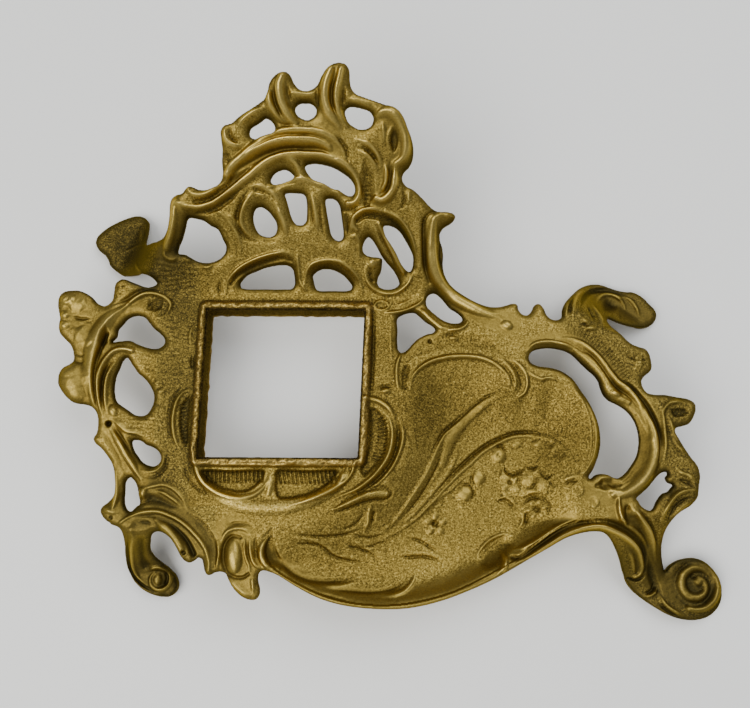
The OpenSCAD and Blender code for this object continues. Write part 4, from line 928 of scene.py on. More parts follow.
groove([(-24, 45.6), (-23.8, 42), (-23.4, 39)], 0.7, 0.6)
groove([(-21, 46), (-20.9, 42.6), (-20.5, 39.4), (-20, 36.8)], 0.8, 0.6)
groove([(-13.8, 43.4), (-13.5, 40), (-13.5, 37)], 1.2, 0.9)
boss((-12.2, 39.2), (0.9, 1.3), 0.9)
groove([(-38.2, 35.9), (-36, 35.6), (-34, 36)], 0.7, 0.4)
bead([(-50.2, 22), (-50, 23.6), (-49.6, 25), (-48.6, 26.3), (-47.2, 27.5), (-45, 28.9),
      (-43, 29.9), (-41, 30.7), (-38, 31.6), (-35, 32.3), (-32.6, 32.7), (-30.8, 32.6),
      (-29.4, 31.9)], 1.4, 1.1)
groove([(-51.6, 25.2), (-52.2, 23.4), (-52, 21.6)], 0.8, 0.6)
trough([(-48.4, 24.6), (-46, 27.2), (-42, 29.2), (-37.6, 30.6), (-33, 31.4), (-30, 30.8)], 2.2,
       0.9, (0.6, 0.6))
bead([(-26.6, 23.4), (-26.1, 25.8), (-25.5, 27.9), (-24.4, 29.3), (-22.4, 30.2), (-20, 30.6),
      (-17, 30.5), (-15, 29.9), (-13, 28.7), (-11.2, 27.2), (-10, 25.6), (-9.3, 24),
      (-9, 22.2)], 1.3, 1.0)
bead([(-28.2, 33), (-28.2, 30), (-28, 27), (-27.8, 24)], 1.1, 0.7)
bead([(-28, 26.2), (-27.4, 24.4), (-26.4, 23.2), (-25.8, 22)], 0.9, 0.7)
for height in (20.7, 21.6, 22.5):
    groove([(-48, height), (-40, height + 0.1), (-30, height)], 0.5, 0.2)
    groove([(-23, height), (-17, height + 0.1), (-11.5, height)], 0.5, 0.2)
bead([(-56.8, 29.6), (-55.6, 28.9), (-54.4, 29.2), (-53.4, 30)], 1.0, 0.7)
bead([(-64.6, 44.4), (-64.5, 43), (-63.8, 41.4)], 1.0, 0.7)
bead([(-63.4, 45), (-63.8, 42), (-64.4, 39.4), (-65.4, 36.6), (-66.6, 34)], 2.8, 1.3, (0.6, 0.9))
bead([(-63, 44.8), (-61.6, 43.6), (-60.2, 42.2)], 1.0, 0.6)
bead([(-67.4, 34), (-67.5, 32), (-66.4, 31), (-65, 30.8), (-63.8, 31.5)], 1.1, 0.8)
bead([(-62.6, 31.8), (-61, 30.8), (-59.8, 30.4)], 0.9, 0.6)
flow_lines([(-76, 25.4), (-70, 25), (-64, 25.6), (-59, 27)], 1.3, 3.5, 3.5, 0.18)
flow_lines([(-74, 31), (-69, 29.4), (-62, 28.4), (-55, 28)], 1.4, 2.4, 2.4, 0.15)

# ---- crest: the ring and its strut ----

bead([(-10.6, 38.2), (-11.7, 39.6), (-11.6, 41), (-10.6, 42), (-9, 42.9), (-7, 43.3), (-5, 43.2),
      (-3.4, 42.9)], 1.5, 1.4, (0.8, 0.4))
bead([(-2.4, 42.7), (0, 41.8), (2, 40.6), (3.5, 39.1), (4.8, 37.4), (5.8, 35.5), (6.4, 33.5),
      (6.7, 31.4), (6.5, 29.4)], 1.3, 1.2, (0.6, 0.5))
trough([(-10.2, 40.6), (-8, 41.8), (-5, 41.8), (-1.6, 41.2), (1.4, 40), (3.4, 37.8), (5, 35),
        (5.8, 32)], 2.4, 1.3, (0.6, 0.5))
bead([(-12.8, 36.4), (-10.9, 36.8), (-9.9, 35.6), (-9.8, 33.8), (-9.6, 32)], 1.0, 0.7)
bead([(-7.4, 29.6), (-8.1, 27.4), (-7.5, 25.2), (-6, 23.5), (-4, 22.4), (-1.5, 21.9), (1, 22.2),
      (3, 23.2), (4.6, 24.5), (5.7, 26.2), (6.2, 28)], 1.2, 1.0)
boss((-6, 30), (1.3, 1.5), 0.8)
trough([(-6.6, 28.6), (-6.4, 26.4), (-5.4, 24.6)], 1.6, 0.8)
bead([(-4, 39.8), (-2.7, 37.2), (-1.2, 34.6), (0.4, 31.9), (1.9, 29.6), (3.4, 27.4)], 1.4, 1.5,
     (0.8, 0.8))
groove([(-4.9, 39.6), (-3.6, 37), (-2.1, 34.4), (-0.5, 31.7), (1, 29.2)], 0.8, 0.9)
strokes([(6.4, 27.6), (5.6, 24.6), (3.6, 22.4), (0.6, 21), (-3, 21)], 1.1, 3.4, 0.4, 0.28)
trough([(3.8, 46.4), (6.4, 42), (8, 37), (8, 31), (7.4, 27)], 4, -0.4)
groove([(2.8, 48.4), (3.2, 46), (2.6, 44), (1.4, 43.2)], 0.8, 0.7)
bead([(4.4, 48), (4.6, 46), (4.2, 44.4)], 1.0, 0.5)

# ---- the long S-scroll right of the ring ----

bead([(13.6, 42.1), (12, 40.9), (11.4, 38.6), (11.2, 35.6), (11.4, 32.2), (12, 29.2), (13.2, 26.4),
      (15, 23.9), (17.4, 21.6), (20.2, 19.7), (23.4, 18), (27, 16.3), (31, 14.8), (34.6, 12.8)],
     3.8, 1.7, (0.5, 0.1))
groove([(12.4, 43), (10.4, 42.4), (9.1, 40.8), (8.9, 38.4), (9.1, 35), (9.4, 31.4), (10, 28.2),
        (11.2, 25)], 1.2, 1.2, (0.5, 0.5))
fold([(12.6, 41.6), (12.4, 38), (12.3, 34.4), (12.6, 31.2), (13.5, 28), (15, 25.2), (17, 22.8),
      (20, 20.7), (23.4, 18.9), (27, 17.4), (31, 16), (34, 15.2)], 2.0, 2.1, 1, (0.4, 0.1))
bead([(13, 42.2), (15, 42.2), (17, 41.8)], 1.4, 0.8)
groove([(13.9, 37), (14, 34), (14.2, 31), (14.8, 28.4)], 0.8, 0.9)
bead([(16, 11.3), (18.4, 11), (20.4, 11.3), (22, 12.3), (22.9, 13.8)], 1.2, 0.9)
bead([(6.8, 18), (9, 16.4), (11.4, 14), (14, 11.9), (17, 11.1)], 2.0, 1.0, (0.4, 0.4))
bead([(-4.4, 16.9), (-2.4, 16.3), (0, 16.2), (2.6, 16.5), (5, 17.3), (7.4, 18.5), (9.2, 20),
      (10, 21.6)], 1.2, 1.0)
bead([(0.4, 18.2), (2.6, 18.8), (4.8, 19.8), (6.6, 21)], 0.9, 0.5)
bead([(-5.4, 18.3), (-4.6, 19.4), (-3.2, 19.7), (-1.8, 19.3), (-1, 18.3), (-1.8, 17.3), (-3.2, 17),
      (-4.6, 17.3)], 0.9, 0.8, closed=True)

# ---- handle loop ----

bead([(40.6, 4.6), (42, 6.3), (44, 7.1), (47, 7.3), (50, 6.9), (53, 6), (55.6, 4.7)], 1.4, 1.1)
trough([(55, 4.6), (58.6, 2), (61.4, -1), (63.4, -4.2), (64.6, -7), (67, -9.4), (70.4, -11)], 4.6,
       -1.1, (0.4, 0.4))
fold([(49, 8.4), (53.6, 8.3), (57, 7), (60, 4.7), (62.5, 2.1), (64.5, -0.7), (66.1, -3),
      (67.7, -4.8), (69.7, -6.2), (71.6, -8), (73.2, -10.2), (74.4, -12.6), (75.4, -15)], 2.2,
     1.3, 1, (0.3, 0.4))
groove([(55.6, 6.4), (58.6, 4.2), (61, 1.8), (63.2, -1.2), (64.7, -3.6), (66.2, -5.6), (68.2, -7.3),
        (70, -8.6), (71.6, -10.2), (73, -12.4)], 0.9, 1.0, (0.3, 0.5))
groove([(66.6, -1.6), (68.4, -4), (71, -5.9), (73.4, -8.4), (75.4, -11), (77, -13.8),
        (78.4, -17), (79.1, -20.4), (79.2, -24.4), (78.5, -28.6)], 1.3, 1.4, (0.3, 0.5))
bead([(75, -13.6), (76.4, -16.4), (77.4, -19.4), (77.8, -22.6), (77.6, -26), (76.6, -29.4),
      (75, -32.4), (72.8, -34.8), (70.2, -36.8), (67.4, -38), (64.8, -38)], 3.8, 1.5, (0.4, 0.6))
trough([(72.6, -15), (74.2, -19), (74.6, -23), (74, -27), (72.4, -30.4), (70, -33.4),
        (67.4, -35.2)], 2.6, 0.5, (0.5, 0.5))
trough([(66.6, -35), (63.6, -35), (60.4, -35.6)], 4.0, 1.3, (0.6, 0.5))
bead([(62.6, -34.6), (64, -36.4), (66, -37.2), (68.4, -36.8)], 1.2, 0.9)
boss((66.5, -8.3), (1.8, 0.9), 0.7, -10)
strokes([(52, 10.3), (56, 9.6), (60, 7.2), (63.6, 3.9), (66.6, 0.3), (69, -3.4), (70.6, -5)],
        1.0, 2.8, 0.6, 0.28)
boss((59.8, 11.4), (2.0, 0.7), 1.0, -8)
groove([(56.6, 12.6), (58.6, 12.7), (61, 12.6)], 0.8, 0.6)
trough([(72, 1.4), (75.4, 1)], 5.6, -0.8)
groove([(69.6, 4.2), (71.4, 2.6), (74.4, 1.8), (76.8, 2)], 0.7, 0.6)
bead([(80.2, -15.6), (80.8, -12.8), (82.4, -11.2), (85, -10.7), (87.4, -11.2)], 1.4, 0.9)
hollow([(82.6, -13), (84.6, -12.4), (87.6, -12.6), (88.6, -14), (86.6, -15.4), (83.6, -15.4)], 0.9,
       1.3)
bead([(79, -10.6), (80.2, -13.8), (80.6, -17), (80.8, -20.4), (80.9, -24), (80.4, -28)], 1.3, 0.9)
bead([(81.8, -14.6), (82.8, -17.6), (84.2, -20.8), (86.2, -23.8)], 1.3, 0.9)
bead([(82.4, -20), (84, -23.4), (86.6, -26.2)], 1.0, 0.6)
groove([(82, -18), (82.8, -21.4), (84.8, -25.2), (87.6, -27.6)], 0.8, 0.6)
groove([(83.6, -25.6), (85.6, -26.8), (88.2, -27)], 0.6, 0.4)
bead([(83.6, -30), (85.2, -31.8), (87.4, -32.6), (89.4, -34.6)], 1.6, 0.9)
groove([(84, -33.8), (87, -34.6), (89.4, -36.4)], 0.9, 0.8)
bead([(89.2, -37), (86.4, -37), (83.8, -38), (81.6, -40.4), (80, -43.4), (79.4, -46)], 1.7, 1.1,
     (0.4, 0.5))
groove([(89, -38.8), (86, -39.6), (83.6, -41.4), (82, -44.2), (81, -47)], 0.9, 0.9)
bead([(88.4, -40.2), (85.6, -41.8), (83.6, -44.2), (82.2, -47)], 1.2, 0.8)

# ---- feet ----

def on_foot(plane, rows):
    """Relief drawn on a level plane and settled onto a foot: the tool, its points, its sizes."""
    for tool, points, *sizes in rows:
        places = settled(points, plane)
        if len(points) == 1:
            places = places[0]
        tool(places, *sizes)


# front right, drawn on a plane halfway down
on_foot(plane=12, rows=[
    (bead, [(57, -48.1), (61, -47.5), (64, -47.8), (67, -48.9), (70, -50.4), (72.5, -52.5),
            (74.3, -55), (75, -57.5), (75.2, -60), (74.3, -62), (72.8, -62.8)],
     1.7, 1.4, (0.8, 0.8)),
    (bead, [(71, -54.4), (72.2, -57), (72.7, -60), (72.8, -62)], 1.3, 0.9),
    (groove, [(71, -63), (73.4, -63.6), (75.6, -62.6)], 1.0, 1.3, (0.7, 0.6)),
    (groove, [(60, -45.7), (65, -46.2), (69, -47.6), (73, -50.1), (75.6, -53.2), (76.4, -57.4),
              (76.2, -61)], 1.8, 1.3, (0.3, 0.4)),
    (bead, [(68.9, -39.2), (68.8, -42), (69.2, -44.2), (70, -45.9), (71.4, -46.4)],
     1.5, 1.4, (0.6, 0.5)),
    (hollow, [(70.4, -41.4), (72, -40.8), (74.2, -43.6), (76.2, -46.6), (77.6, -49.8),
              (78.2, -53.4), (77.2, -55), (75.6, -51.6), (73.2, -49), (70.6, -47.6), (70, -44.6)],
     1.3, 1.6),
    (boss, [(72.6, -43.2)], (1.2, 1.6), 0.9, 30),
    (bead, [(72.3, -41.2), (74.5, -43.9), (76.6, -46.6), (78.1, -49.2), (78.8, -51.8),
            (79.1, -54.6), (79.4, -58)], 1.2, 1.1),
    (groove, [(74.4, -41.6), (76.6, -44.2), (78.6, -47.4), (79.8, -51), (80.2, -55)], 1.0, 0.9),
    (trough, [(77.4, -57), (77.8, -61), (78.8, -65), (81, -68.6)], 3.2, 0.9),
    (bead, [(75.4, -68.5), (77.4, -68.1), (79, -67), (79.8, -65.4)], 1.1, 0.8),
    (groove, [(75.2, -67.4), (76.8, -67.3), (78.2, -66.2), (78.8, -64.4)], 0.9, 0.8),
    (bead, [(80.2, -67.6), (81.4, -70.2), (84, -72.4), (87.4, -74)], 1.3, 1.1),
    (bead, [(76, -69.4), (79.4, -71.8), (83, -74), (86.6, -75.4)], 1.2, 0.8),
    (groove, [(79.8, -70.4), (82.4, -72.7), (86, -74.6)], 0.8, 0.7),
    (volute, [(91.2, -65)], -110, 1.5, 7.4, 2.2, 3.4, 1.5),
    (groove, [(85, -64), (86.4, -60.8), (90, -58.9), (94, -59.8), (96.4, -63.4), (95.8, -67.6),
              (92.6, -70.8), (88.4, -71), (85.4, -68.6)], 1.5, 0.7),
    (boss, [(92, -64)], (1.7, 1.5), 1.1),
    (pit, [(90.2, -62.6)], 0.7, 0.6)])

# front left, drawn at plate height
on_foot(plane=22, rows=[
    (bead, [(-79.3, -52), (-79, -56), (-78, -59.2), (-76.5, -61.8), (-74.4, -64), (-71.8, -65.9),
            (-69, -66.8), (-66.4, -66.2)], 1.4, 1.1),
    (bead, [(-76.8, -48.6), (-76, -50.6), (-76.2, -53.4), (-76, -56.2), (-75.7, -58.6),
            (-74.8, -61), (-73.2, -63), (-70.8, -64.7)], 1.3, 1.1),
    (groove, [(-77.4, -50), (-77.6, -53.4), (-77.3, -57), (-76.4, -60), (-74.8, -62.4),
              (-72.2, -64.6), (-69.2, -65.8)], 1.0, 1.1),
    (hollow, [(-75, -50), (-72.4, -50.4), (-71.8, -53.4), (-71.4, -56.4), (-70, -58.4),
              (-72, -60.4), (-74, -59), (-75, -55.4)], 0.8, 1.8),
    (volute, [(-68, -62.6)], 120, -1.0, 3.8, 2.4, 1.6, 1.3),
    (boss, [(-68.4, -62.6)], (1.5, 2.2), 1.3),
    (groove, [(-66.8, -59.8), (-65.6, -61.4), (-65.6, -63.2), (-66.8, -64.8)], 1.3, 1.2)])

# back left, drawn a little above the leg
on_foot(plane=14, rows=[
    (bead, [(-80, 34.6), (-79.6, 32.4), (-78.4, 30.6), (-76.6, 29)], 1.0, 0.9),
    (bead, [(-84.4, 36.8), (-80, 38.4), (-76.6, 39.4)], 1.0, 0.7)])
on_foot(plane=8, rows=[
    (groove, [(-79.6, 45.4), (-79, 43.4), (-79.4, 41.8)], 0.9, 0.7),
    (bead, [(-80.4, 46), (-80, 43.8), (-80.6, 41.4)], 0.9, 0.6)])

# back right, drawn halfway down
on_foot(plane=14, rows=[
    (bead, [(56.2, 16.2), (56.4, 19.8), (57.6, 22.8), (59.4, 24.9)], 1.2, 0.9),
    (bead, [(54, 16.4), (54.2, 19.4), (55, 21)], 1.0, 0.7),
    (groove, [(55.2, 16.6), (55.4, 19.6), (56.4, 22.4)], 0.8, 0.8),
    (trough, [(58.4, 18), (59.4, 21.6), (62, 24.2), (66.4, 24.8), (71, 23.6), (75.4, 21.6)],
     2.6, 1.0),
    (bead, [(63.4, 20.6), (64.4, 22.4), (66.2, 23.3), (68.2, 23.2), (70, 22.4), (71.6, 20.8),
            (72.4, 19)], 1.4, 1.1),
    (bead, [(70.4, 23.8), (73, 22.5), (75, 20.4), (76.2, 18), (77, 16)], 1.3, 0.8),
    (hollow, [(64.8, 21), (66.4, 22.2), (69, 21.8), (70.6, 19.8), (69.8, 17.6), (67.4, 17),
              (65.4, 18)], 1.0, 2.6),
    (bead, [(62, 20.4), (63.2, 18.4), (64.6, 16.4), (65.2, 13.8)], 1.7, 1.1),
    (bead, [(58.2, 16.8), (59.8, 15.2), (61.4, 13.8), (63, 13)], 1.0, 0.8),
    (groove, [(60.6, 20), (61.8, 17.4), (62.8, 15)], 1.0, 0.9)])


# ---- the casting as top, underside and edge ----

# edges are rounder and fall further in the crest and gallery, less along the tray's front
crest_part = step(20, 26, GY) * step(-34, -26, -GX)
gallery_part = step(66, 72, -GX) * step(-26, -20, -GY)
tray_front = step(-50, -56, GY) * step(-42, -36, GX) * step(-62, -56, -GX)
edge_round = 2.3 + 0.5 * crest_part + 0.3 * gallery_part - 1.4 * tray_front
crown = 1.5 + 0.6 * crest_part + 0.3 * gallery_part - 1.0 * tray_front


def rounding(distance_in, width):
    """0 at the edge, 1 where the rounding ends, with the slope of a quarter circle."""
    t = np.clip(distance_in / width, 0, 1)
    return np.sqrt(np.clip(1 - (1 - t)**2, 0, 1))


ridge = blurred(ridge, 0.25)
cuts = blurred(cuts, 0.15)
inner = np.clip(signed, 0, None)
open_edge = np.where(solid, edge, 0)
fall = crown * (1 - rounding(open_edge, edge_round))
worn = 1 + 0.3 * seeded_noise(1.0, 31) + 0.2 * seeded_noise(0.4, 32)
rim_bar = 1.8 * worn * (1 - step(1.0, 2.8, well_edge)) - 0.5 * (1 - rounding(well_edge, 0.8))
shape = ground + ridge - cuts
level = base - tray
top = level + shape - fall + rim_bar * (well_edge < 5)
top += seeded_noise(0.4, 3) * 0.05 + seeded_noise(1.2, 4) * 0.06
low = level - SHEET + 0.8 * blurred(ground, 0.6) + TUCK * (1 - rounding(inner, edge_round))
low += seeded_noise(0.8, 5) * 0.08
low -= 2.2 * step(8.5, 5.5, base)
low = np.where(well_edge < COLLAR_WALL, COLLAR_FOOT, low)
low = np.maximum(np.minimum(low, top - LEAST), 0)

# how far the surface stands above or below the plain sheet
stand = shape - fall + rim_bar * (well_edge < 5)


def stands_out(radius):
    """How far each point stands above the average of the metal round it."""
    weight = np.maximum(blurred(solid.astype(float), radius), 1e-3)
    return stand - blurred(np.where(solid, stand, 0), radius) / weight


# the ground is stippled; ridges, edges and the bands along these lines are smooth
SMOOTH = [([(13, 40), (11.5, 34), (13, 27), (19, 20.5), (28, 16), (35, 13)], 4.5),
          ([(43, 6), (50, 8), (57, 6), (63, 0), (68, -6), (73, -11)], 3.4),
          ([(73, -11), (76, -17), (76.5, -24), (74, -31), (68, -37), (60, -37.5)], 5),
          ([(-79, 18), (-85, 14), (-89, 5), (-89.6, -6), (-87, -15)], 5.5),
          ([(-84, -18), (-79, -27), (-74, -34), (-69, -38), (-62, -42)], 4),
          ([(-80, -46), (-70, -45.5), (-61, -48), (-55, -56)], 6),
          ([(-82, -28), (-82, -44)], 4), ([(-47, -50), (-46, -64)], 8),
          ([(-46, 52), (-36, 58), (-24, 59.5), (-17, 57)], 3),
          ([(-63, 44), (-64.5, 38), (-67, 32)], 4.5), ([(-32, 72), (-31, 64)], 4.5),
          ([(-17, 75), (-18, 63)], 5), ([(-2, 65), (3, 60), (2, 54)], 4),
          ([(-1, 52), (-2, 47), (-5, 46)], 3), ([(-96, 20), (-96, 12), (-96, -6)], 7),
          ([(-37, -56), (-28, -63), (-14, -68), (2, -69), (18, -65), (34, -57), (52, -47)], 4.5),
          ([(68, -44), (74, -52), (80, -62), (90, -68)], 6),
          ([(-77, -52), (-76, -60), (-70, -65)], 5), ([(62, 22), (72, 23), (80, 17)], 5)]
smooth = np.maximum(step(0.15, 0.6, ridge), 0.9 * step(2.4, 0.6, edge))
for points, reach in SMOOTH:
    d = distance(curve(points), reach)[0]
    smooth = np.maximum(smooth, step(reach, 0.6 * reach, d))
rise_y, rise_x = np.gradient(base, CELL)
steep = np.hypot(rise_x, rise_y)
# dirt, green patina and, on the back left foot, painted shade (positive); worn golden metal
# (negative)
STAINS_AND_SHADE = [((8, -14), 16, 0.8), ((28, -12), 14, 0.6), ((50, -20), 14, 1.0), ((46, -40), 10, 0.3),
          ((20, -45), 22, 0.2), ((-66, 20), 12, 0.5), ((-62, 30), 10, 0.6), ((-64, -2), 9, 0.4),
          ((-3, 6), 8, 0.7), ((-72, 30), 8, 0.4), ((-30, 36), 10, -0.3), ((-24, 56), 22, -0.7),
          ((-48, -39), 8, -0.6), ((-56, -10), 14, 0.15), ((-68, -26), 9, 0.2), ((-30, 28), 14, 0.2),
          ((30, 12), 8, -0.4), ((76, -24), 9, -0.2),
          ((-14, -56), 20, 0.4), ((-66, -48), 10, 0.3), ((82, -38), 9, 0.3), ((86, -20), 8, 0.3),
          ((-77, 35), 9, 1.2), ((-86, 42), 12, 0.7)]
stain_and_shade = np.zeros(GX.shape)
for place, radius, strength in STAINS_AND_SHADE:
    r = np.hypot(GX - place[0], GY - place[1]) / radius
    stain_and_shade += strength * np.exp(-r**2 * 1.5)


# ---- the mesh: marching squares over the plan, a top, an underside and the edge between ----

solid_point = signed > 0
count = int(solid_point.sum())
corner_id = np.full(GX.shape, -1)
corner_id[solid_point] = np.arange(count)


def crossings(along_x):
    """Where the casting's edge crosses the grid lines: lower grid point and share of a cell."""
    di, dj = (1, 0) if along_x else (0, 1)
    a = signed[:len(ys) - dj, :len(xs) - di]
    b = signed[dj:, di:]
    j, i = np.nonzero((a > 0) != (b > 0))
    return j, i, j + dj, i + di, a[j, i] / (a[j, i] - b[j, i])


cross_x = crossings(True)
cross_y = crossings(False)
id_x = np.full(GX.shape, -1)
id_x[cross_x[0], cross_x[1]] = count + np.arange(len(cross_x[0]))
id_y = np.full(GX.shape, -1)
id_y[cross_y[0], cross_y[1]] = count + len(cross_x[0]) + np.arange(len(cross_y[0]))


def sampled(field):
    """A field at every corner and edge point of the mesh."""
    out = [field[solid_point]]
    for j, i, j2, i2, t in (cross_x, cross_y):
        out.append(field[j, i] * (1 - t) + field[j2, i2] * t)
    return np.concatenate(out)


def plan_polygons():
    """The plan as polygons: full cells, then the cut cells, with the cell each lies in."""
    corner = [solid_point[:-1, :-1], solid_point[:-1, 1:], solid_point[1:, 1:],
              solid_point[1:, :-1]]
    inside_count = sum(c.astype(int) for c in corner)
    j, i = np.nonzero(inside_count == 4)
    full = np.stack([corner_id[j, i], corner_id[j, i + 1], corner_id[j + 1, i + 1],
                     corner_id[j + 1, i]], axis=1)
    full_cells = np.stack([j, i], axis=1)
    cut, cut_cells, rims = [], [], []
    for j, i in zip(*np.nonzero((inside_count > 0) & (inside_count < 4))):
        corners = [(j, i), (j, i + 1), (j + 1, i + 1), (j + 1, i)]
        between = [id_x[j, i], id_y[j, i + 1], id_x[j + 1, i], id_y[j, i]]
        ring = []
        leaving = []
        for k in range(4):
            here, after = solid_point[corners[k]], solid_point[corners[(k + 1) % 4]]
            if here:
                ring.append(corner_id[corners[k]])
            if here != after:
                if here:
                    leaving.append(len(ring))
                ring.append(between[k])
        cut.append(ring)
        cut_cells.append((j, i))
        rims += [(ring[k], ring[(k + 1) % len(ring)], len(cut) - 1) for k in leaving]
    return full, full_cells, cut, cut_cells, rims


full, full_cells, cut, cut_cells, rims = plan_polygons()
plan_x, plan_y = sampled(GX), sampled(GY)
top_z, low_z = sampled(top), sampled(low)
total = len(plan_x)

ZONES = {
    "left_lobes": [(-110, 30), (-90, 30), (-90, -30), (-110, -30)],
    "left_gallery": [(-90, 30), (-71, 30), (-71, -25), (-73, -41.5), (-90, -41.5)],
    "left_wing": [(-71, 20), (-58, 20), (-60.2, -29.5), (-60.2, -41.5), (-73, -41.5),
                  (-71, -25)],
    "front_left_scroll": [(-90, -41.5), (-52, -41.5), (-52, -75), (-90, -75)],
    "front_apron": [(-60.2, -29.5), (-8.2, -29.5), (-2, -32), (-8, -38.5), (-20, -44.5),
                    (-37.5, -44.5), (-52, -44.5), (-52, -41.5), (-60.2, -41.5)],
    "right_crescent": [(-6, 16.5), (5, 16.5), (1.6, 4), (3.5, -8), (3.5, -24), (-2, -32),
                       (-8.2, -29.5)],
    "front_shell": [(-52, -44.5), (-37.5, -44.5), (-37.5, -75), (-52, -75)],
    "pen_tray": [(-37.5, -75), (-37.5, -44.5), (-20, -44.5), (-8, -38.5), (-2, -32),
                 (3.5, -24), (3.5, -8), (1.6, 4), (5, 8), (13, 11), (21.2, 14.2), (33, 12.6),
                 (39.5, 10), (42, 3), (51, 1), (60.5, -7), (64, -18), (63, -27),
                 (59.2, -33.2), (58, -40), (56, -46), (56, -75)],
    "tray_stay": [(-6, 20), (-6, 16.5), (5, 16.5), (6, 13), (13, 11), (21.2, 14.2), (11, 20)],
    "right_bracket": [(11, 20), (21.2, 14.2), (33, 12.6), (39.5, 10), (39.5, 20), (30, 20),
                      (30, 52), (8.5, 52), (8.5, 33), (10, 24), (10.5, 20)],
    "handle_loop": [(39.5, 20), (39.5, 10), (42, 3), (51, 1), (60.5, -7), (64, -18), (63, -27),
                    (59.2, -33.2), (58, -40), (56, -46), (56, -60), (85, -60), (78.5, -43),
                    (78.8, -32), (79.5, -25), (78.5, -16), (75, -9), (69, -4.5), (62, 4),
                    (54, 9.5), (50, 13), (50, 20)],
    "handle_lobes": [(95, -60), (85, -60), (78.5, -43), (78.8, -32), (79.5, -25),
                     (78.5, -16), (75, -9), (69, -4.5), (62, 4), (54, 9.5), (50, 13),
                     (50, 25), (95, 25)],
    "left_shoulder": [(-80, 20), (-58, 20), (-58, 34.5), (-80, 34.5)],
    "left_stay": [(-80, 34.5), (-60, 34.5), (-59.5, 44), (-61.5, 55), (-80, 55)],
    "crest_base": [(-58, 20), (-9, 20), (-9, 33), (-51, 33), (-58, 32)],
    "crest_fan": [(-51, 33), (-9, 33), (-9, 46.5), (-15, 47.6), (-24, 49.8), (-35, 49.3),
                  (-45, 47), (-52, 39)],
    "crest_arch": [(-60, 42), (-52, 39), (-45, 47), (-35, 49.3), (-24, 49.8), (-15, 47.6),
                   (-9, 46.5), (-9, 60), (-20, 61.5), (-35, 60), (-49, 57), (-70, 57),
                   (-61.5, 55), (-59.5, 44)],
    "crest_flames": [(-49, 57), (-35, 60), (-20, 61.5), (-9, 60), (10, 63), (10, 85),
                     (-60, 85)],
    "crest_curl": [(-9, 41), (8.5, 41), (8.5, 52), (10, 52), (10, 63), (-9, 60)],
    "crest_ring": [(-9, 20), (10.5, 20), (10, 24), (8.5, 33), (8.5, 41), (-9, 41)],
    "foot_back_left": [(-100, 28), (-76, 28), (-74, 34), (-74, 55), (-100, 55)],
    "foot_back_right": [(54, 14), (58, 13), (62, 11), (95, 11), (95, 35), (54, 35)],
    "foot_front_left": [(-90, -49.5), (-71, -49.5), (-67, -57), (-64, -60), (-64, -75),
                        (-90, -75)],
    "foot_front_right": [(63, -53), (80, -53), (83, -60), (110, -50), (110, -80), (63, -80)],
    "well_collar": [(-60.5, 21), (-5.5, 21), (-7.8, -30), (-62.5, -30)]}
OLIVE = ["left_wing", "front_left_scroll", "left_shoulder", "handle_lobes", "foot_back_left",
         "foot_back_right", "foot_front_left", "foot_front_right"]


def zone_labels():
    """The part each cell belongs to. The later zones win; the collar is a band round the well."""
    label = np.full(GX.shape, -1)
    for k, (name, zone) in enumerate(ZONES.items()):
        covered = inside(np.array(zone, float))
        if name == "well_collar":
            covered = well_edge < COLLAR_RIM
        label = np.where(covered, k, label)
    # cells that no zone covers go with their neighbours
    for _ in range(8):
        for axis, way in ((0, 1), (0, -1), (1, 1), (1, -1)):
            label = np.where(label < 0, np.roll(label, way, axis), label)
    return label


label = zone_labels()
names = list(ZONES)
darker = np.isin(label, [names.index(name) for name in OLIVE]) & solid_point
metal_near = np.maximum(blurred(solid_point.astype(float), PATINA_BLUR), 1e-3)
stain_and_shade += 0.9 * blurred(darker.astype(float), PATINA_BLUR) / metal_near
# fine, proud and broad: hollows and the edges of openings come out darker, partly patina, partly
# painted shade
FIELDS = {"fine": stands_out(0.6), "proud": stands_out(1.8), "broad": stands_out(4.5),
          # foot: painted shade on the low legs and on steep faces
          "foot": np.maximum(0.6 * step(21.5, 10, base), 2.6 * step(1.2, 2.2, steep)),
          "smooth": smooth, "stain_and_shade": stain_and_shade}
full_label = label[full_cells[:, 0], full_cells[:, 1]]
cut_label = np.array([label[j, i] for j, i in cut_cells])


def flat_polygons(full_quads, cut_rings):
    """Corner lists as one array of corners and one of polygon sizes."""
    corners = [full_quads.ravel()]
    sizes = [np.full(len(full_quads), 4)]
    if cut_rings:
        corners.append(np.concatenate([np.array(r) for r in cut_rings]))
        sizes.append(np.array([len(r) for r in cut_rings]))
    return np.concatenate(corners).astype(int), np.concatenate(sizes).astype(int)


def smooth_normals(points, triangles):
    """Vertex normals, each face counted by its area."""
    a, b, c = (points[triangles[:, k]] for k in range(3))
    face = np.cross(b - a, c - a)
    out = np.zeros_like(points)
    for k in range(3):
        np.add.at(out, triangles[:, k], face)
    return out / np.maximum(np.linalg.norm(out, axis=1, keepdims=True), 1e-12)


corners = np.vstack([np.stack([plan_x, plan_y, top_z], axis=1),
                     np.stack([plan_x, plan_y, low_z], axis=1)])
ring_triangles = [(r[0], r[k], r[k + 1]) for r in cut for k in range(1, len(r) - 1)]
plan_triangles = np.vstack([full[:, [0, 1, 2]], full[:, [0, 2, 3]], np.array(ring_triangles)])
rim = np.array([(a, b) for a, b, _ in rims])
rim_quads = np.stack([rim[:, 0] + total, rim[:, 1] + total, rim[:, 1], rim[:, 0]], axis=1)
all_triangles = np.vstack([plan_triangles, plan_triangles[:, ::-1] + total,
                           rim_quads[:, [0, 1, 2]], rim_quads[:, [0, 2, 3]]])
normals = smooth_normals(corners, all_triangles)
fields = {name: np.tile(sampled(f), 2) for name, f in FIELDS.items()}


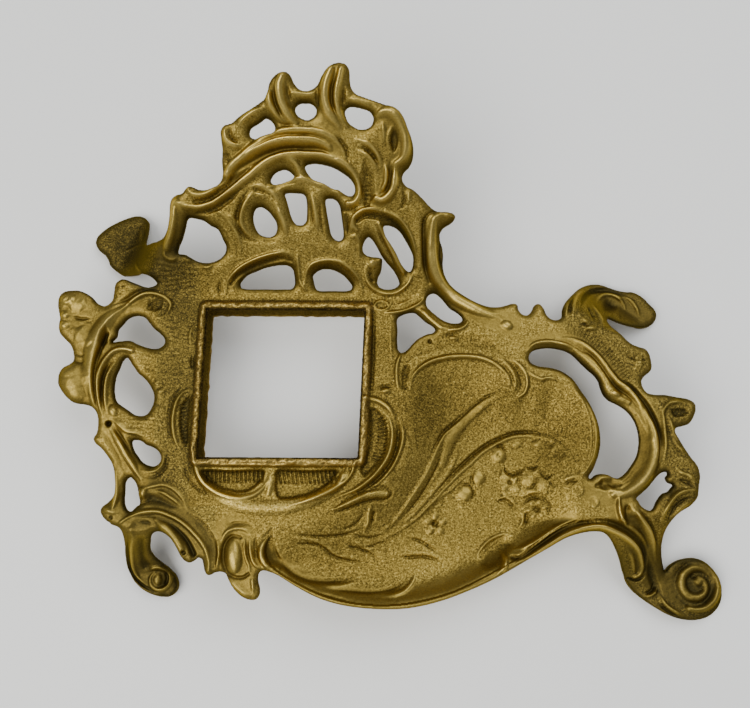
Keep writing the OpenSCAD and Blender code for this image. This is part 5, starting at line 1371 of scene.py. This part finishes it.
def build_part(k, name):
    """One named part of the casting as a closed mesh, its normals running on into the next."""
    mine = np.nonzero(full_label == k)[0]
    mine_cut = np.nonzero(cut_label == k)[0]
    rings = [cut[r] for r in mine_cut]
    top_corners, top_sizes = flat_polygons(full[mine], rings)
    low_corners, low_sizes = flat_polygons(full[mine][:, ::-1], [r[::-1] for r in rings])
    own = set(mine_cut.tolist())
    edge_quads = np.array([q for q, (_, _, c) in zip(rim_quads, rims) if c in own],
                          int).reshape(-1, 4)
    # polygon sides used once are where the part was cut out, but for the casting's own edge
    ends = np.cumsum(top_sizes)
    following = np.roll(top_corners, -1)
    starts = ends - top_sizes
    following[ends - 1] = top_corners[starts]
    low_key = np.minimum(top_corners, following).astype(np.int64) * total
    key = low_key + np.maximum(top_corners, following)
    _, first, used = np.unique(key, return_index=True, return_counts=True)
    once = first[used == 1]
    a, b = top_corners[once], following[once]
    on_edge = {(int(q[3]), int(q[2])) for q in edge_quads}
    keep = np.array([(int(p), int(q)) not in on_edge for p, q in zip(a, b)], bool)
    a, b = a[keep], b[keep]
    cap_quads = np.stack([a + total, b + total, b, a], axis=1)
    polygons = np.concatenate([top_corners, low_corners + total, edge_quads.ravel()])
    sizes = np.concatenate([top_sizes, low_sizes, np.full(len(edge_quads), 4)])
    used_ids, index = np.unique(polygons, return_inverse=True)
    cap_ids = cap_quads.ravel()
    cap_index = len(used_ids) + np.arange(len(cap_ids))
    source = np.concatenate([used_ids, cap_ids])
    loops = np.concatenate([index, cap_index])
    sizes = np.concatenate([sizes, np.full(len(cap_quads), 4)])
    cap_way = np.stack([plan_y[b] - plan_y[a], plan_x[a] - plan_x[b], 0 * plan_x[a]], axis=1)
    cap_way /= np.maximum(np.linalg.norm(cap_way, axis=1, keepdims=True), 1e-12)
    facing = np.concatenate([normals[used_ids], np.repeat(cap_way, 4, axis=0)])

    mesh = bpy.data.meshes.new(name)
    mesh.vertices.add(len(source))
    mesh.vertices.foreach_set("co", (corners[source] * MM).astype(np.float32).ravel())
    mesh.loops.add(len(loops))
    mesh.loops.foreach_set("vertex_index", loops.astype(np.int32))
    mesh.polygons.add(len(sizes))
    starts = np.cumsum(sizes) - sizes
    mesh.polygons.foreach_set("loop_start", starts.astype(np.int32))
    mesh.polygons.foreach_set("use_smooth", np.ones(len(sizes), bool))
    mesh.update(calc_edges=True)
    for field, values in fields.items():
        layer = mesh.attributes.new(field, "FLOAT", "POINT")
        layer.data.foreach_set("value", values[source].astype(np.float32))
    mesh.normals_split_custom_set_from_vertices(facing.astype(np.float32).tolist())
    piece = bpy.data.objects.new("cast_" + name, mesh)
    bpy.context.scene.collection.objects.link(piece)
    return piece


# ---- materials ----

def brass(name, tone, gloss):
    """Aged cast brass: golden where it stands out, brown-green in the hollows, speckled; the
    darkening in hollows, at edges and on the legs is partly patina and partly painted shade.
    """
    material = bpy.data.materials.new(name)
    material.use_nodes = True
    tree = material.node_tree
    tree.nodes.clear()

    def node(kind, **settings):
        made = tree.nodes.new(kind)
        for key, value in settings.items():
            if key in made.inputs:
                made.inputs[key].default_value = value
            else:
                setattr(made, key, value)
        return made

    def join(source, out, target, into):
        tree.links.new(source.outputs[out], target.inputs[into])

    def times_plus(source, out, factor, addend, addend_out):
        made = node("ShaderNodeMath", operation="MULTIPLY_ADD")
        join(source, out, made, 0)
        made.inputs[1].default_value = factor
        if addend is None:
            made.inputs[2].default_value = addend_out
        else:
            join(addend, addend_out, made, 2)
        return made

    output = node("ShaderNodeOutputMaterial")
    shader = node("ShaderNodeBsdfPrincipled", Metallic=1.0)
    join(shader, "BSDF", output, "Surface")
    place = node("ShaderNodeTexCoord")
    cloud = node("ShaderNodeTexNoise", Scale=45.0, Detail=4.0, Roughness=0.6)
    speck = node("ShaderNodeTexNoise", Scale=1900.0, Detail=2.0, Roughness=0.55)
    grain = node("ShaderNodeTexNoise", Scale=3600.0, Detail=1.0, Roughness=0.5)
    for texture in (cloud, speck, grain):
        join(place, "Object", texture, "Vector")
    finish = node("ShaderNodeAttribute", attribute_name="smooth")
    stipple = times_plus(finish, "Fac", -0.72, None, 1.0)
    noise = times_plus(speck, "Fac", 1.25, None, -1.025)
    noise = times_plus(grain, "Fac", 0.80, noise, "Value")
    mottle = node("ShaderNodeMath", operation="MULTIPLY")
    join(noise, "Value", mottle, 0)
    join(stipple, "Value", mottle, 1)
    value = times_plus(cloud, "Fac", 0.30, None, 0.33)
    value = times_plus(mottle, "Value", 1.0, value, "Value")
    # these fields darken the colour as painted shade in hollows, at edges and on the legs, besides
    # patina and dirt
    for field, factor in (("fine", 0.17), ("proud", 0.15), ("broad", 0.11), ("foot", -0.13),
                          ("stain_and_shade", -0.19)):
        reading = node("ShaderNodeAttribute", attribute_name=field)
        value = times_plus(reading, "Fac", factor, value, "Value")
    ramp = node("ShaderNodeValToRGB")
    ramp.color_ramp.elements[0].position = 0.02
    ramp.color_ramp.elements[0].color = tone[0]
    ramp.color_ramp.elements[1].position = 0.96
    ramp.color_ramp.elements[1].color = tone[3]
    for place_on, colour in ((0.34, tone[1]), (0.62, tone[2])):
        ramp.color_ramp.elements.new(place_on).color = colour
    join(value, "Value", ramp, "Fac")
    join(ramp, "Color", shader, "Base Color")
    rough = node("ShaderNodeMapRange")
    join(value, "Value", rough, "Value")
    rough.inputs["From Min"].default_value = 0.1
    rough.inputs["From Max"].default_value = 1.0
    rough.inputs["To Min"].default_value = gloss[0]
    rough.inputs["To Max"].default_value = gloss[1]
    polish = times_plus(finish, "Fac", -0.05, rough, "Result")
    join(polish, "Value", shader, "Roughness")
    shader.inputs["Specular Tint"].default_value = (1.0, 0.80, 0.42, 1)
    bump = node("ShaderNodeBump", Strength=0.6, Distance=0.00015)
    join(mottle, "Value", bump, "Height")
    join(bump, "Normal", shader, "Normal")
    return material


gold = brass("brass_gold", [(0.05, 0.037, 0.010, 1), (0.162, 0.112, 0.023, 1),
                            (0.335, 0.242, 0.054, 1), (0.63, 0.47, 0.13, 1)], (0.62, 0.32))
olive = brass("brass_olive", [(0.048, 0.038, 0.012, 1), (0.156, 0.112, 0.025, 1),
                              (0.325, 0.24, 0.055, 1), (0.61, 0.46, 0.13, 1)], (0.62, 0.32))
# a darker copy of the brass: painted shade for the inside of the well and the band round it
shaded_brass = brass("brass_well_shaded", [(0.03, 0.02, 0.008, 1), (0.12, 0.08, 0.022, 1),
                            (0.28, 0.19, 0.045, 1), (0.54, 0.39, 0.11, 1)], (0.8, 0.36))


def well_lining():
    """The rough inner wall of the well: a closed band with a ragged lower lip."""
    rng = np.random.default_rng(5)
    share = np.linspace(0, 1, 75, endpoint=False)[:, None]
    corners = np.array(WELL + WELL[:1])
    path = np.vstack([a + (b - a) * share for a, b in zip(corners[:-1], corners[1:])])
    for _ in range(3):
        path = 0.5 * path + 0.25 * (np.roll(path, 1, axis=0) + np.roll(path, -1, axis=0))
    count = len(path)
    way = np.roll(path, -1, axis=0) - np.roll(path, 1, axis=0)
    inward = np.stack([-way[:, 1], way[:, 0]], axis=1)
    inward /= np.linalg.norm(inward, axis=1, keepdims=True)
    middle = path.mean(axis=0)
    inward *= np.sign((inward * (middle - path)).sum(axis=1, keepdims=True))
    turn = np.arange(count) / count * 2 * math.pi

    def waves(lowest, highest, size):
        out = np.zeros(count)
        for periods in range(lowest, highest):
            out += rng.normal() * np.sin(periods * turn + rng.uniform(0, 6.3))
        return size * out / math.sqrt(highest - lowest)

    lip = 10.9 + waves(8, 40, 0.35)
    rows = 9
    points, tone = [], []
    for row in range(rows):
        t = row / (rows - 1)
        reach = 0.34 + 0.1 * t**2 + waves(10, 70, 0.10 * (0.3 + t))
        at = path + inward * reach[:, None]
        height = 22.3 + (lip - 22.3) * t
        points += [(x, y, z) for (x, y), z in zip(at, height)]
        # tone, kept in the proud attribute, is painted shade: darkest at the top of the wall,
        # lighter at the lip
        tone += [-2.6 + 3.4 * t**6] * count
    for reach, lift in ((0.1, -0.5), (-1.4, 0.3), (-1.4, 11.2)):
        at = path + inward * reach
        points += [(x, y, z + lift) for (x, y), z in zip(at, lip)]
        # painted shade on the lip's underside and outer face
        tone += [-1.6] * count
    bands = rows + 3
    faces = []
    for row in range(bands):
        for k in range(count):
            a, b = row * count, ((row + 1) % bands) * count
            after = (k + 1) % count
            faces.append((a + k, b + k, b + after, a + after))
    area = 0.5 * (path[:, 0] * np.roll(path[:, 1], -1) - path[:, 1] * np.roll(path[:, 0], -1)).sum()
    if area < 0:
        faces = [f[::-1] for f in faces]
    mesh = bpy.data.meshes.new("well_lining")
    mesh.from_pydata([(x * MM, y * MM, z * MM) for x, y, z in points], [], faces)
    mesh.polygons.foreach_set("use_smooth", np.ones(len(faces), bool))
    layer = mesh.attributes.new("proud", "FLOAT", "POINT")
    layer.data.foreach_set("value", np.array(tone, np.float32))
    mesh.materials.append(shaded_brass)
    piece = bpy.data.objects.new("well_lining", mesh)
    bpy.context.scene.collection.objects.link(piece)
    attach(piece, "root")
    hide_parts("well_collar")


well_lining()

for k, name in enumerate(names):
    piece = build_part(k, name)
    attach(piece, "root")
    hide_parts(name)
    if name == "well_collar":
        piece.data.materials.append(shaded_brass)
    elif name in OLIVE:
        piece.data.materials.append(olive)
    else:
        piece.data.materials.append(gold)


# ---- floor, light and camera ----

def floor_sheet():
    """The plain pale floor under the stand."""
    mesh = bpy.data.meshes.new("floor")
    half = 3.0
    mesh.from_pydata([(-half, -half, 0), (half, -half, 0), (half, half, 0), (-half, half, 0)],
                     [], [(0, 1, 2, 3)])
    piece = bpy.data.objects.new("floor", mesh)
    bpy.context.scene.collection.objects.link(piece)
    material = bpy.data.materials.new("pale_floor")
    material.use_nodes = True
    tree = material.node_tree
    shader = tree.nodes["Principled BSDF"]
    shader.inputs["Base Color"].default_value = (0.96, 0.965, 0.94, 1)
    shader.inputs["Roughness"].default_value = 0.5
    mesh.materials.append(material)


floor_sheet()


def window_light(name, place, aim, size, power, colour):
    """A soft rectangle of light."""
    lamp = bpy.data.lights.new(name, "AREA")
    lamp.shape = "RECTANGLE"
    lamp.size, lamp.size_y = size
    lamp.energy = power
    lamp.color = colour
    item = bpy.data.objects.new(name, lamp)
    item.location = place
    way = Vector(aim) - Vector(place)
    item.rotation_euler = way.to_track_quat("-Z", "Y").to_euler()
    bpy.context.scene.collection.objects.link(item)


window_light("window", (-0.6, -0.5, 1.2), (0, 0, 0), (1.4, 1.1), 19, (1.0, 0.98, 0.94))
window_light("room", (0.5, 0.7, 1.3), (0, 0, 0), (1.2, 1.2), 12, (0.98, 0.99, 1.0))

world = bpy.data.worlds.new("room_world")
bpy.context.scene.world = world
world.use_nodes = True
world.node_tree.nodes["Background"].inputs["Color"].default_value = (0.62, 0.64, 0.68, 1)
world.node_tree.nodes["Background"].inputs["Strength"].default_value = 0.55

lens = bpy.data.cameras.new("camera")
lens.lens = 48
lens.sensor_width = 36
lens.clip_start = 0.01
camera = bpy.data.objects.new("camera", lens)
camera.location = (-0.0052, -0.03815, 0.31908)
camera.rotation_euler = (math.radians(8), 0, 0)
bpy.context.scene.collection.objects.link(camera)
bpy.context.scene.camera = camera

bpy.context.view_layer.update()
